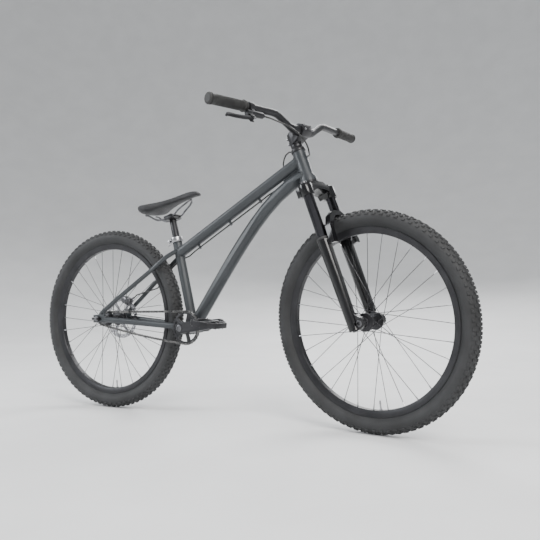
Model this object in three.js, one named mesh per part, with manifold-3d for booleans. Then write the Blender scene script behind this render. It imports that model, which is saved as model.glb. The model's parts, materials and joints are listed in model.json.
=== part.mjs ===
// Dirt jump bike with a suspension fork, one gear and a rear disc brake.
// X points forward, Y to the rider's left, Z up. Lengths are in millimetres, angles in degrees.
import * as THREE from "three";
import { mergeVertices } from "three/addons/utils/BufferGeometryUtils.js";
import Module from "manifold-3d";

const wasm = await Module();
wasm.setup();

// Clearances between pieces
const seatGap = 0.3; // two pieces that are fixed to each other
const runGap = 0.6; // two pieces that turn or slide on each other
const cutRun = 4; // how far a cutting tool runs past the face it cuts
const weld = 0.0001; // vertices closer than this are one vertex

// Wheels
const tyreRadius = 338;
const tyreWidth = 56;
const tyreWall = 3;
const treadFlat = 16;
const tyreHeight = 53;
const rimFlangeRadius = tyreRadius - tyreHeight;
const rimHook = 5.5;
const rimSeatRadius = rimFlangeRadius - rimHook;
const rimDepth = 14.5;
const rimInnerRadius = rimSeatRadius - rimDepth;
const rimWidth = 30;
const rimFlangeWall = 2;
const rimNarrowWidth = 18;
const valveRadius = 3;
const valveLength = 32;
const spokeRadius = 0.9;
const spokeInset = 3;
const hubWaistRadius = 13;
const hubFlangeRadius = 28;
const hubFlangeWall = 4.4;
const spokeStagger = 1.3;
const spokesPerSide = 16;
const spokeCrosses = 3;
const wheelFacets = 32;
const hubFacets = 12;
const tubeFacets = 14;

// Front hub and axle
const frontHubWidth = 100;
const frontFlangePlace = 31;
const frontAxleRadius = 10;
const frontHubEndRadius = 12.5;

// Rear hub, axle, rotor and sprocket
const rearHubWidth = 135;
const rearFlangeLeft = 30;
const rearFlangeRight = 24;
const rearAxleRadius = 5;
const rearHubEndRadius = 9;
const rotorRadius = 80;
const rotorRingDepth = 15;
const rotorThickness = 1.8;
const rotorPlace = 52;
const rotorArms = 6;
const rotorBossRadius = 22;
const driverRadius = 14;
const axleNutRadius = 8.5;
const axleNutHeight = 9;

// Transmission
const chainPitch = 12.7;
const chainLine = 48;
const chainringTeeth = 28;
const cogTeeth = 12;
const rollerRadius = 3.85;
const toothThickness = 2.2;
const toothClearance = 0.5;
const innerPlatePlace = 1.7;
const plateThickness = 1;
const plateHalfHeight = 4.1;
const chainringBore = 16;
const crankLength = 168;
const crankRestAngle = 7;
const crankOuterPlace = 85;
const crankThickness = 13;
const crankBossRadius = 19;
const crankEndRadius = 14;
const spindleRadius = 12;
const pedalAxleRadius = 5;
const pedalLength = 100;
const pedalWidth = 98;
const pedalThickness = 17;
const pedalGap = 9;
const pedalRail = 11;
const pedalBarrelRadius = 9;

// Frame
const tyreToBracket = 54.25;
const chainstayLength = tyreRadius + tyreToBracket;
const bracketDrop = 28;
const wheelbase = 1055;
const headAngle = 70.2;
const seatAngle = 76.5;
const seatTubeLength = 331;
const seatTubeRadius = 17;
const seatBore = 13.9;
const topTubeRadius = 19;
const topTubeDrop = 60;
const topTubeOnSeat = seatTubeLength - topTubeDrop;
const topTubeLanding = 27;
const downTubeRadius = 22;
const downTubeStartAngle = 54.5;
const downTubeStartPull = 330;
const downTubeEndAngle = 18;
const downTubeEndPull = 159;
const downTubeLanding = 27;
const gussetThickness = 5;
const gussetReach = 82;
const headTubeLength = 108;
const headTubeRadius = 22;
const headTubeFlare = 28;
const headTubeFlareLength = 24;
const headTubeBore = 18;
const lowerCupHeight = 12;
const upperCupHeight = 15;
const bracketShellWidth = 73;
const bracketShellRadius = 20.5;
const bracketCupWidth = 9;
const bracketCupRadius = 21.5;
const stayHalfWidth = 7.5;
const stayHalfHeight = 11;
const seatStayRadius = 8;
const dropoutThickness = 6;
const dropoutSlotLength = 26;
const tyreClearance = 3.4;
const clampHeight = 18;
const clampWall = 4;
const tugThickness = 4;
const clampBolt = 3;
const clampLeverLength = 26;
const clampLeverDrop = 8;
const caliperAngle = 68;
const caliperLength = 44;
const caliperHeight = 27;
const caliperDepth = 27;
const caliperFootRadius = 5;
const caliperFootShare = 0.06;
const caliperPortLength = 18;
const caliperPortAngle = 20;
const pedalTilt = 8;
const guideOffset = 29;
const guideFromHead = 195;
const guideRadius = 5;

// Fork
const forkRake = 40;
const axleToCrown = 472;
const forkTravel = 100;
const stanchionRadius = 16;
const stanchionSpacing = 130;
const stanchionOffset = 18;
const crownHeight = 50;
const crownMiddle = 26;
const crownWall = 5;
const steererRadius = 14.3;
const sealHeight = 9;
const sealWall = 4.5;
const legTop = 274;
const legTopWall = 5;
const legEndRadius = 17;
const legBelowAxle = 16;
const archHeight = 16;
const archDepth = 18;
const archRise = 8;
const lugRadius = 18;
const steerAtRest = -8.2;

// Cockpit
const spacerHeight = 12;
const stemHeight = 40;
const stemWall = 5;
const stemReach = 36;
const stemRise = 10;
const capHeight = 5;
const faceplateDepth = 9;
const barClampRadius = 15.9;
const barRadius = 11.1;
const barHalfWidth = 388;
const barRise = 53;
const barSweep = 27;
const barKneeStart = 55;
const barKneeEnd = 128;
const barKneeRise = 36.5;
const barKneeAhead = 7;
const gripLength = 137;
const gripRadius = 16;
const gripFlangeRadius = 20;
const gripFlangeWidth = 5;
const gripCap = 5;
const leverInset = 15;
const leverPlace = barHalfWidth - gripLength - leverInset;
const leverBandWidth = 16;
const leverAngle = 50;
const leverReach = 32;
const leverDrop = 24;
const leverBodyRadius = 9.5;
const leverBodyLength = 62;
const leverPortLength = 9;
const leverBladeLength = 104;
const leverBladeHalf = 4.5;
const leverPinRadius = 3;
const hoseRadius = 2.5;

// Seat
const postRadius = 13.6;
const postInsert = 150;
const postShown = 66;
const postHeadRise = 11;
const saddleReach = 140;
const saddleHalfWidth = 67;
const saddleRise = 84;
const saddlePitch = 16;
const railRadius = 3.5;
const railSpacing = 44;
const cradleLength = 34;
const cradleHeight = 9;
const cradleWidth = 58;
const cradleBolt = 4;
const hoseReach = 150;
const hoseUnderStay = 10.9;

// Finishes
const finish = (color, roughness, metalness) =>
  new THREE.MeshStandardMaterial({ color, roughness, metalness });
const framePaint = finish(0x3b4149, 0.55, 0.3);
const glossBlack = finish(0x101113, 0.25, 0.2);
const satinBlack = finish(0x1c1d1f, 0.5, 0.4);
const silver = finish(0xb9bcc0, 0.3, 0.95);
const darkSteel = finish(0x55565a, 0.4, 0.9);
const tyreRubber = finish(0x232426, 0.85, 0);
const gripRubber = finish(0x141414, 0.8, 0);
const saddleCover = finish(0x2c2d30, 0.7, 0);
const hoseBlack = finish(0x161616, 0.5, 0);

// Small helpers
const rad = THREE.MathUtils.degToRad;
const at = (x, y, z) => new THREE.Vector3(x, y, z);
const upY = at(0, 1, 0);

function solid(geometry, matrix) {
  const bare = geometry.clone();
  for (const name of Object.keys(bare.attributes)) {
    if (name !== "position") bare.deleteAttribute(name);
  }
  if (matrix) bare.applyMatrix4(matrix);
  const merged = mergeVertices(bare, weld);
  return new wasm.Manifold(
    new wasm.Mesh({
      numProp: 3,
      vertProperties: merged.attributes.position.array,
      triVerts: new Uint32Array(merged.index.array),
    }),
  );
}

function shapeOf(body) {
  const mesh = body.getMesh();
  const geometry = new THREE.BufferGeometry();
  geometry.setAttribute("position", new THREE.BufferAttribute(new Float32Array(mesh.vertProperties), 3));
  geometry.setIndex(new THREE.BufferAttribute(new Uint32Array(mesh.triVerts), 1));
  const flat = geometry.toNonIndexed();
  flat.computeVertexNormals();
  return flat;
}

function piece(group, name, body, material) {
  const mesh = new THREE.Mesh(shapeOf(body), material);
  mesh.name = name;
  group.add(mesh);
  return mesh;
}

function joined(bodies) {
  return bodies.reduce((all, next) => all.add(next));
}

function without(body, tools) {
  return tools.reduce((left, tool) => left.subtract(tool), body);
}

// The matrix that stands a shape built along Y on the line from one point towards another
function along(from, to) {
  const direction = to.clone().sub(from).normalize();
  const turn = new THREE.Quaternion().setFromUnitVectors(upY, direction);
  return new THREE.Matrix4().compose(from, turn, at(1, 1, 1));
}

function rod(from, to, startRadius, endRadius = startRadius, sides = 12) {
  const length = from.distanceTo(to);
  const bar = new THREE.CylinderGeometry(endRadius, startRadius, length, sides);
  bar.translate(0, length / 2, 0);
  return solid(bar, along(from, to));
}

function longer(from, to, extra) {
  const step = to.clone().sub(from).setLength(extra);
  return [from.clone().sub(step), to.clone().add(step)];
}

// A radius that keeps the flats of a many-sided bore clear of what runs in it
const bored = (radius, sides) => radius / Math.cos(Math.PI / sides);

function drill(from, to, radius, sides = 12) {
  const [start, end] = longer(from, to, cutRun);
  return rod(start, end, bored(radius, sides), undefined, sides);
}

// A body of revolution round Y from points (radius, height) that go up on the outside
function turned(points, facets, matrix) {
  const profile = points.map(([r, h]) => new THREE.Vector2(r, h));
  return solid(new THREE.LatheGeometry(profile, facets), matrix);
}

function turnedRing(points, facets, matrix) {
  return turned([...points, points[0]], facets, matrix);
}

function outline(points) {
  return new THREE.Shape(points.map(([a, b]) => new THREE.Vector2(a, b)));
}

function circle(radius, sides, x = 0, y = 0) {
  return Array.from({ length: sides }, (_, i) => {
    const angle = ((i + 0.5) * 2 * Math.PI) / sides;
    return [x + radius * Math.cos(angle), y + radius * Math.sin(angle)];
  });
}

// A plate with its outline in X and Z and its thickness from one Y to the other
function slab(points, right, left, holes = []) {
  const shape = outline(points);
  shape.holes = holes.map((hole) => outline(hole));
  const plate = new THREE.ExtrudeGeometry(shape, { depth: left - right, bevelEnabled: false });
  plate.rotateX(Math.PI / 2);
  plate.translate(0, left, 0);
  return solid(plate);
}

// A tube of even radius along a smooth curve
function swept(curve, radius, sides, steps) {
  const shape = outline(circle(radius, sides));
  return solid(new THREE.ExtrudeGeometry(shape, { steps, extrudePath: curve, bevelEnabled: false }));
}

function smooth(points) {
  return new THREE.CatmullRomCurve3(points, false, "centripetal");
}

// A skin over rings of points that all have the same count
function lofted(rings) {
  const count = rings[0].length;
  const points = rings.flat().flatMap((p) => [p.x, p.y, p.z]);
  const faces = [];
  for (let i = 1; i < rings.length; i++) {
    for (let k = 0; k < count; k++) {
      const a = (i - 1) * count + k;
      const b = (i - 1) * count + ((k + 1) % count);
      faces.push(a, b, b + count, a, b + count, a + count);
    }
  }
  const last = (rings.length - 1) * count;
  for (let k = 2; k < count; k++) {
    faces.push(0, k, k - 1, last, last + k - 1, last + k);
  }
  const skin = new THREE.BufferGeometry();
  skin.setAttribute("position", new THREE.Float32BufferAttribute(points, 3));
  skin.setIndex(faces);
  const body = solid(skin);
  return body.volume() < 0 ? lofted(rings.reverse()) : body;
}

// Main places in the plane of the frame
const rearAxle = at(0, 0, tyreRadius);
const frontAxle = at(wheelbase, 0, tyreRadius);
const bracket = at(Math.sqrt(chainstayLength ** 2 - bracketDrop ** 2), 0, tyreRadius - bracketDrop);
const steerUp = at(-Math.cos(rad(headAngle)), 0, Math.sin(rad(headAngle)));
const steerAhead = at(Math.sin(rad(headAngle)), 0, Math.cos(rad(headAngle)));
const steerFoot = frontAxle.clone().addScaledVector(steerAhead, -forkRake);
const onSteer = (height) => steerFoot.clone().addScaledVector(steerUp, height);
const headBottom = axleToCrown + lowerCupHeight;
const headTop = headBottom + headTubeLength;
const seatUp = at(-Math.cos(rad(seatAngle)), 0, Math.sin(rad(seatAngle)));
const onSeat = (height) => bracket.clone().addScaledVector(seatUp, height);
const inPlane = (angle) => at(Math.cos(rad(angle)), 0, Math.sin(rad(angle)));
const topTubeStart = onSeat(topTubeOnSeat);
const topTubeEnd = onSteer(headTop - topTubeLanding);
const topTubeRun = topTubeStart.distanceTo(topTubeEnd);
const topTubeAhead = topTubeEnd.clone().sub(topTubeStart).normalize();
const underTopTube = at(topTubeAhead.z, 0, -topTubeAhead.x);
const downTubeEnd = onSteer(headBottom + downTubeLanding);
const guideShares = [0.235, 0.636, 1];
const guideLine = topTubeStart.clone().addScaledVector(underTopTube, guideOffset);
const guideRun = topTubeRun - guideFromHead;
const onGuideLine = (share) => guideLine.clone().addScaledVector(topTubeAhead, guideRun * share);
const downTubeCurve = new THREE.CubicBezierCurve3(
  bracket,
  bracket.clone().addScaledVector(inPlane(downTubeStartAngle), downTubeStartPull),
  downTubeEnd.clone().addScaledVector(inPlane(downTubeEndAngle), -downTubeEndPull),
  downTubeEnd,
);

const bike = new THREE.Group();
const frame = new THREE.Group();
bike.add(frame);

// Frame tubes, each mitred against the tubes that it is welded to
const headTubeSkin = (extra) =>
  turned(
    [
      [0, -cutRun * (extra > 0)],
      [headTubeFlare + extra, -cutRun * (extra > 0)],
      [headTubeFlare + extra, headTubeFlareLength / 2],
      [headTubeRadius + extra, headTubeFlareLength],
      [headTubeRadius + extra, headTubeLength + cutRun * (extra > 0)],
      [0, headTubeLength + cutRun * (extra > 0)],
    ],
    hubFacets,
    along(onSteer(headBottom), onSteer(headTop)),
  );
const seatTubeSkin = (extra) =>
  rod(bracket, onSeat(seatTubeLength), seatTubeRadius + extra, undefined, hubFacets);
const shellEnd = (side) => at(bracket.x, (side * bracketShellWidth) / 2, bracket.z);
const shellSkin = (extra) => rod(shellEnd(-1), shellEnd(1), bracketShellRadius + extra, undefined, hubFacets);
const topTubeSkin = (extra) => {
  const start = topTubeStart.clone().addScaledVector(topTubeAhead, -extra);
  return rod(start, topTubeEnd, topTubeRadius + extra, undefined, tubeFacets);
};
const downTubeSkin = (extra) => swept(downTubeCurve, downTubeRadius + extra, tubeFacets, 11);

// The flat web that ties the top tube and the down tube behind the head tube
function gusset() {
  const topTubeUnder = topTubeEnd.clone().addScaledVector(topTubeAhead, -gussetReach);
  const downTubeOver = downTubeEnd.clone().addScaledVector(inPlane(downTubeEndAngle), -gussetReach);
  const corners = [downTubeOver, downTubeEnd, topTubeEnd, topTubeUnder];
  return slab(corners.map((p) => [p.x, p.z]), -gussetThickness / 2, gussetThickness / 2);
}

// Guides under the top tube, each bored for the brake hose
function hoseGuides() {
  return guideShares.map((share) => {
    const eye = onGuideLine(share);
    const root = eye.clone().addScaledVector(underTopTube, -guideOffset + topTubeRadius / 2);
    const tip = eye.clone().addScaledVector(underTopTube, guideRadius);
    const [start, end] = [-1, 1].map((way) => eye.clone().addScaledVector(topTubeAhead, way * guideRadius));
    const bore = drill(start, end, hoseRadius + seatGap * 1.5, 6);
    return rod(root, tip, guideRadius, undefined, 6).subtract(bore);
  });
}

function makeFrameTubes() {
  const bore = drill(onSteer(headBottom), onSteer(headTop), headTubeBore, hubFacets);
  const web = without(gusset(), [topTubeSkin(seatGap), downTubeSkin(seatGap)]);
  piece(frame, "head_tube", headTubeSkin(0).add(web).subtract(bore), framePaint);
  const seatTube = seatTubeSkin(0)
    .subtract(shellSkin(seatGap))
    .subtract(drill(onSeat(bracketShellRadius * 2), onSeat(seatTubeLength), seatBore, hubFacets));
  piece(frame, "seat_tube", seatTube, framePaint);
  const topTube = without(topTubeSkin(0), [headTubeSkin(seatGap), seatTubeSkin(seatGap)]);
  piece(frame, "top_tube", joined([topTube, ...hoseGuides()]), framePaint);
  const cutters = [headTubeSkin(seatGap), seatTubeSkin(seatGap), shellSkin(seatGap), topTubeSkin(seatGap)];
  piece(frame, "down_tube", without(downTubeSkin(0), cutters), framePaint);
  const tunnel = drill(shellEnd(-1), shellEnd(1), spindleRadius + bracketCupWidth / 2, hubFacets);
  piece(frame, "bb_shell", shellSkin(0).subtract(tunnel), framePaint);
}

// Line of the rear triangle, measured from the rear axle
const stayAhead = bracket.clone().sub(rearAxle).normalize();
const onStayLine = (distance, side, width) => {
  const place = rearAxle.clone().addScaledVector(stayAhead, distance);
  return at(place.x, side * width, place.z);
};
const widestTyre = tyreRadius - tyreWidth / 2;
const ringPitchRadius = chainPitch / (2 * Math.sin(Math.PI / chainringTeeth));
const cogPitchRadius = chainPitch / (2 * Math.sin(Math.PI / cogTeeth));
const ringPass = chainstayLength - ringPitchRadius - plateHalfHeight;
const dropoutPlace = rearHubWidth / 2 + seatGap;
const dropoutMiddle = dropoutPlace + dropoutThickness / 2;
const dropoutLength = dropoutSlotLength * 1.7;
const dropoutHalf = dropoutSlotLength * 0.55;

// A tube pressed flat: it is swept round in a space stretched sideways, and squeezed back
function pressedStay(points, extra) {
  const squeeze = stayHalfWidth / stayHalfHeight;
  const stretched = points.map((p) => at(p.x, p.y / squeeze, p.z));
  const tube = new THREE.ExtrudeGeometry(outline(circle(stayHalfHeight + extra, 10)), {
    steps: 9,
    extrudePath: smooth(stretched),
    bevelEnabled: false,
  });
  tube.scale(1, squeeze, 1);
  return solid(tube);
}

function chainstayPoints(side) {
  const besideTyre = tyreWidth / 2 + tyreClearance + stayHalfWidth;
  const besideRing = chainLine - toothThickness / 2 - runGap - stayHalfWidth;
  const spread = dropoutMiddle - besideTyre;
  return [
    onStayLine(chainstayLength - bracketShellRadius / 2, side, besideRing * 0.74),
    onStayLine(chainstayLength - bracketShellRadius * 2, side, besideRing * 0.93),
    onStayLine(ringPass, side, Math.min(besideRing, besideTyre)),
    onStayLine(widestTyre, side, besideTyre),
    onStayLine(widestTyre * 0.72, side, besideTyre + spread * 0.2),
    onStayLine(widestTyre * 0.36, side, besideTyre + spread * 0.68),
    onStayLine(dropoutLength * 0.62, side, dropoutMiddle),
  ];
}

const seatStayTop = onSeat(topTubeOnSeat + seatTubeRadius * 0.6);
const seatStayFoot = at(dropoutHalf, 0, tyreRadius + dropoutHalf * 1.5);
function seatStayPoints(side) {
  const besideTyre = tyreWidth / 2 + tyreClearance + seatStayRadius;
  const run = seatStayTop.clone().sub(rearAxle);
  const farShare = widestTyre / run.length();
  const place = (share, width) => {
    const p = seatStayFoot.clone().lerp(seatStayTop, share);
    return at(p.x, side * width, p.z);
  };
  const spread = dropoutMiddle - besideTyre;
  return [
    place(0, dropoutMiddle),
    place(farShare * 0.25, dropoutMiddle - spread * 0.12),
    place(farShare * 0.62, besideTyre + spread * 0.42),
    place(farShare * 0.95, besideTyre),
    place((1 + farShare) / 2, besideTyre * 0.92),
    place(1, seatTubeRadius * 0.8),
  ];
}

const seatStaySkin = (side, extra) => swept(smooth(seatStayPoints(side)), seatStayRadius + extra, 8, 9);

// A plate round the axle with a slot that opens to the rear
function dropoutPlate(side, extra) {
  const slot = rearAxleRadius + seatGap;
  const tail = -dropoutSlotLength;
  const slotEnd = dropoutSlotLength * 0.3;
  const points = [
    [tail, dropoutHalf],
    [tail, slot],
    [slotEnd, slot],
    [slotEnd + slot, 0],
    [slotEnd, -slot],
    [tail, -slot],
    [tail, -dropoutHalf],
    [dropoutHalf, -dropoutHalf],
    [dropoutLength, -stayHalfHeight * 0.8],
    [dropoutLength, stayHalfHeight * 0.4],
    [dropoutLength * 0.66, stayHalfHeight],
    [dropoutLength * 0.78, dropoutLength * 0.78],
    [dropoutLength * 0.52, dropoutLength * 0.9],
    [dropoutHalf * 0.2, dropoutHalf * 1.1],
  ];
  const low = side > 0 ? dropoutPlace : -dropoutPlace - dropoutThickness;
  const grow = 1 + extra / dropoutHalf;
  const plate = points.map(([x, z]) => [x * grow, tyreRadius + z * grow]);
  return slab(plate, low - extra, low + dropoutThickness + extra);
}

function tug(side) {
  const inner = dropoutPlace + dropoutThickness + seatGap;
  const low = side > 0 ? inner : -inner - tugThickness;
  const eye = circle(rearAxleRadius * 2, 12, 0, tyreRadius);
  const tail = -dropoutSlotLength - seatGap;
  const arm = rearAxleRadius * 0.9;
  const strip = (end) =>
    [[tail - tugThickness, -arm], [end, -arm], [end, arm], [tail - tugThickness, arm]].map(([x, z]) => [
      x,
      tyreRadius + z,
    ]);
  const stopLow = side > 0 ? dropoutPlace : -inner - tugThickness;
  const stopDepth = inner + tugThickness - dropoutPlace;
  const hole = drill(at(0, low, tyreRadius), at(0, low + tugThickness, tyreRadius), rearAxleRadius + seatGap);
  return joined([
    slab(eye, low, low + tugThickness),
    slab(strip(0), low, low + tugThickness),
    slab(strip(tail), stopLow, stopLow + stopDepth),
  ]).subtract(hole);
}

function makeRearTriangle() {
  for (const [side, name] of [[1, "left"], [-1, "right"]]) {
    const chainstay = without(pressedStay(chainstayPoints(side), 0), [
      shellSkin(seatGap),
      seatTubeSkin(seatGap),
      dropoutPlate(side, seatGap),
      rod(shellEnd(side), at(bracket.x, side * bracketShellWidth, bracket.z), bracketCupRadius + seatGap * 4),
    ]);
    piece(frame, "chainstay_" + name, chainstay, framePaint);
    const seatStay = without(seatStaySkin(side, 0), [
      seatTubeSkin(seatGap),
      topTubeSkin(seatGap),
      dropoutPlate(side, seatGap),
    ]);
    piece(frame, "seatstay_" + name, seatStay, framePaint);
    piece(frame, "dropout_" + name, dropoutPlate(side, 0), framePaint);
    piece(frame, "chain_tug_" + name, tug(side), satinBlack);
  }
}

function makeRearAxle() {
  const nutStart = dropoutPlace + dropoutThickness + tugThickness + seatGap * 2;
  const end = nutStart + axleNutHeight + rearAxleRadius * 0.6;
  const onAxle = (place) => at(0, place, tyreRadius);
  const nut = (side) =>
    rod(onAxle(side * nutStart), onAxle(side * (nutStart + axleNutHeight)), axleNutRadius, undefined, 6);
  const shaft = rod(onAxle(-end), onAxle(end), rearAxleRadius, undefined, 10);
  piece(frame, "rear_axle", joined([shaft, nut(1), nut(-1)]), darkSteel);
}

// Bearing cups and seat clamp
function makeCups() {
  const cup = (from, to, outer, lip, bore) => {
    const length = from.distanceTo(to);
    return turnedRing(
      [
        [bore, 0],
        [outer, 0],
        [outer, length * 0.6],
        [lip, length],
        [bore, length],
      ],
      hubFacets,
      along(from, to),
    );
  };
  const bore = steererRadius + runGap;
  const lowerEnds = [onSteer(headBottom - seatGap), onSteer(axleToCrown + runGap)];
  const lower = cup(...lowerEnds, headTubeFlare, headTubeFlare * 0.93, bore);
  piece(frame, "headset_cup_lower", lower, satinBlack);
  const upperEnds = [onSteer(headTop + seatGap), onSteer(headTop + upperCupHeight)];
  const upper = cup(...upperEnds, headTubeRadius * 1.1, headTubeRadius * 0.9, bore);
  piece(frame, "headset_cup_upper", upper, satinBlack);
  for (const [side, name] of [[1, "left"], [-1, "right"]]) {
    const inner = side * (bracketShellWidth / 2 + seatGap);
    const outer = side * (bracketShellWidth / 2 + bracketCupWidth);
    const from = at(bracket.x, inner, bracket.z);
    const to = at(bracket.x, outer, bracket.z);
    const ring = cup(from, to, bracketCupRadius, bracketCupRadius * 0.85, spindleRadius + runGap);
    piece(frame, "bb_cup_" + name, ring, satinBlack);
  }
}

// Seat clamp: a split band on the top of the seat tube with two ears behind it
const clampBase = seatTubeLength - clampHeight;
const clampInner = bored(seatTubeRadius + seatGap, 16);
const clampOuter = clampInner + clampWall;
const clampSlit = clampWall * 0.6;
const clampEar = clampWall * 2.4;
const clampEarPlace = clampOuter + clampEar / 2;

// A space whose Y runs up a tube and whose X points ahead of it
const standing = (origin, ahead, up) =>
  new THREE.Matrix4().makeBasis(ahead, up, ahead.clone().cross(up)).setPosition(origin);
const seatAhead = at(Math.sin(rad(seatAngle)), 0, Math.cos(rad(seatAngle)));
function blockBetween(low, high, matrix) {
  const block = new THREE.BoxGeometry(high.x - low.x, high.y - low.y, high.z - low.z);
  const middle = low.clone().add(high).multiplyScalar(0.5);
  block.translate(middle.x, middle.y, middle.z);
  return solid(block, matrix);
}

function makeSeatClamp() {
  const stand = standing(onSeat(clampBase), seatAhead, seatUp);
  const section = [[clampInner, 0], [clampOuter, 0], [clampOuter, clampHeight], [clampInner, clampHeight]];
  const band = turnedRing(section, 16, stand);
  const earBase = clampHeight * 0.2;
  const ears = blockBetween(
    at(-clampOuter - clampEar, earBase, -clampEar),
    at(-clampInner - clampWall / 2, clampHeight - earBase, clampEar),
    stand,
  );
  const slit = blockBetween(
    at(-clampOuter - clampEar - cutRun, -cutRun, -clampSlit / 2),
    at(-clampInner + clampWall / 2, clampHeight + cutRun, clampSlit / 2),
    stand,
  );
  const hole = rod(
    at(-clampEarPlace, clampHeight / 2, -clampEar - cutRun),
    at(-clampEarPlace, clampHeight / 2, clampEar + cutRun),
    clampBolt + seatGap,
  ).transform(stand.elements);
  piece(frame, "seat_clamp", without(band.add(ears), [slit, hole]), silver);
}

// The clamp's bolt, with a nut on one side and a small lever on the other
function makeClampLever() {
  const group = new THREE.Group();
  group.applyMatrix4(standing(onSeat(clampBase + clampHeight / 2), seatAhead, seatUp));
  frame.add(group);
  const out = clampEar + seatGap;
  const head = clampBolt * 1.8;
  const onBolt = (place) => at(-clampEarPlace, 0, place);
  const bolt = rod(onBolt(-out - head), onBolt(out + head), clampBolt);
  const nut = rod(onBolt(out), onBolt(out + head), clampBolt * 1.8, undefined, 8);
  const eye = rod(onBolt(-out), onBolt(-out - head), clampBolt * 1.8, undefined, 8);
  const tip = at(-clampEarPlace - clampLeverLength, -clampLeverDrop, -out - head / 2);
  const arm = rod(onBolt(-out - head / 2), tip, head * 0.45, head * 0.3, 8);
  piece(group, "seat_clamp_lever", joined([bolt, nut, eye, arm]), silver);
}

// Brake caliper over the edge of the rotor, with a foot on the seatstay
const caliperOut = inPlane(caliperAngle);
const caliperAcross = at(caliperOut.z, 0, -caliperOut.x);
const caliperMiddle = rearAxle
  .clone()
  .addScaledVector(caliperOut, rotorRadius - rotorRingDepth / 2)
  .setY(rotorPlace);
const caliperPortStart = caliperMiddle
  .clone()
  .addScaledVector(caliperAcross, caliperLength * 0.28)
  .addScaledVector(caliperOut, caliperHeight * 0.36)
  .setY(rotorPlace + caliperDepth * 0.16);
const caliperPortEnd = caliperPortStart.clone().addScaledVector(inPlane(caliperPortAngle), caliperPortLength);

function makeCaliper() {
  const stand = new THREE.Matrix4().makeBasis(caliperAcross, upY, caliperOut).setPosition(caliperMiddle);
  const half = caliperLength / 2;
  const tall = caliperHeight / 2;
  const chamfer = caliperHeight * 0.28;
  const shares = [
    [-0.46, 0.84],
    [-0.36, 1],
    [0.42, 1],
    [0.54, 0.84],
  ];
  const rings = shares.map(([depthShare, growShare]) =>
    [
      [-half, tall - chamfer],
      [-half + chamfer, tall],
      [half - chamfer, tall],
      [half, tall - chamfer],
      [half, -tall + chamfer],
      [half - chamfer, -tall],
      [-half + chamfer, -tall],
      [-half, -tall + chamfer],
    ].map(([a, b]) => at(a * growShare, depthShare * caliperDepth, b * growShare).applyMatrix4(stand)),
  );
  const footStart = caliperMiddle.clone().setY(rotorPlace + caliperDepth * 0.36);
  const footEnd = smooth(seatStayPoints(1)).getPointAt(caliperFootShare);
  const foot = rod(footStart, footEnd, caliperFootRadius, undefined, 8);
  const slot = rod(
    at(0, rotorPlace - rotorThickness / 2 - runGap, tyreRadius),
    at(0, rotorPlace + rotorThickness / 2 + runGap, tyreRadius),
    rotorRadius + runGap * 2,
    undefined,
    48,
  );
  const port = rod(caliperPortStart, caliperPortEnd, hoseRadius * 1.6, undefined, 8);
  const cut = [slot, seatStaySkin(1, seatGap)];
  piece(frame, "rear_caliper", without(joined([lofted(rings), foot, port]), cut), darkSteel);
}

// Chain: rollers one pitch apart round both sprockets, with a slack lower run
const pointOn = (middle, radius, angle) =>
  at(middle.x + radius * Math.cos(angle), 0, middle.z + radius * Math.sin(angle));
const ringStep = (2 * Math.PI) / chainringTeeth;
const cogStep = (2 * Math.PI) / cogTeeth;

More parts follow.
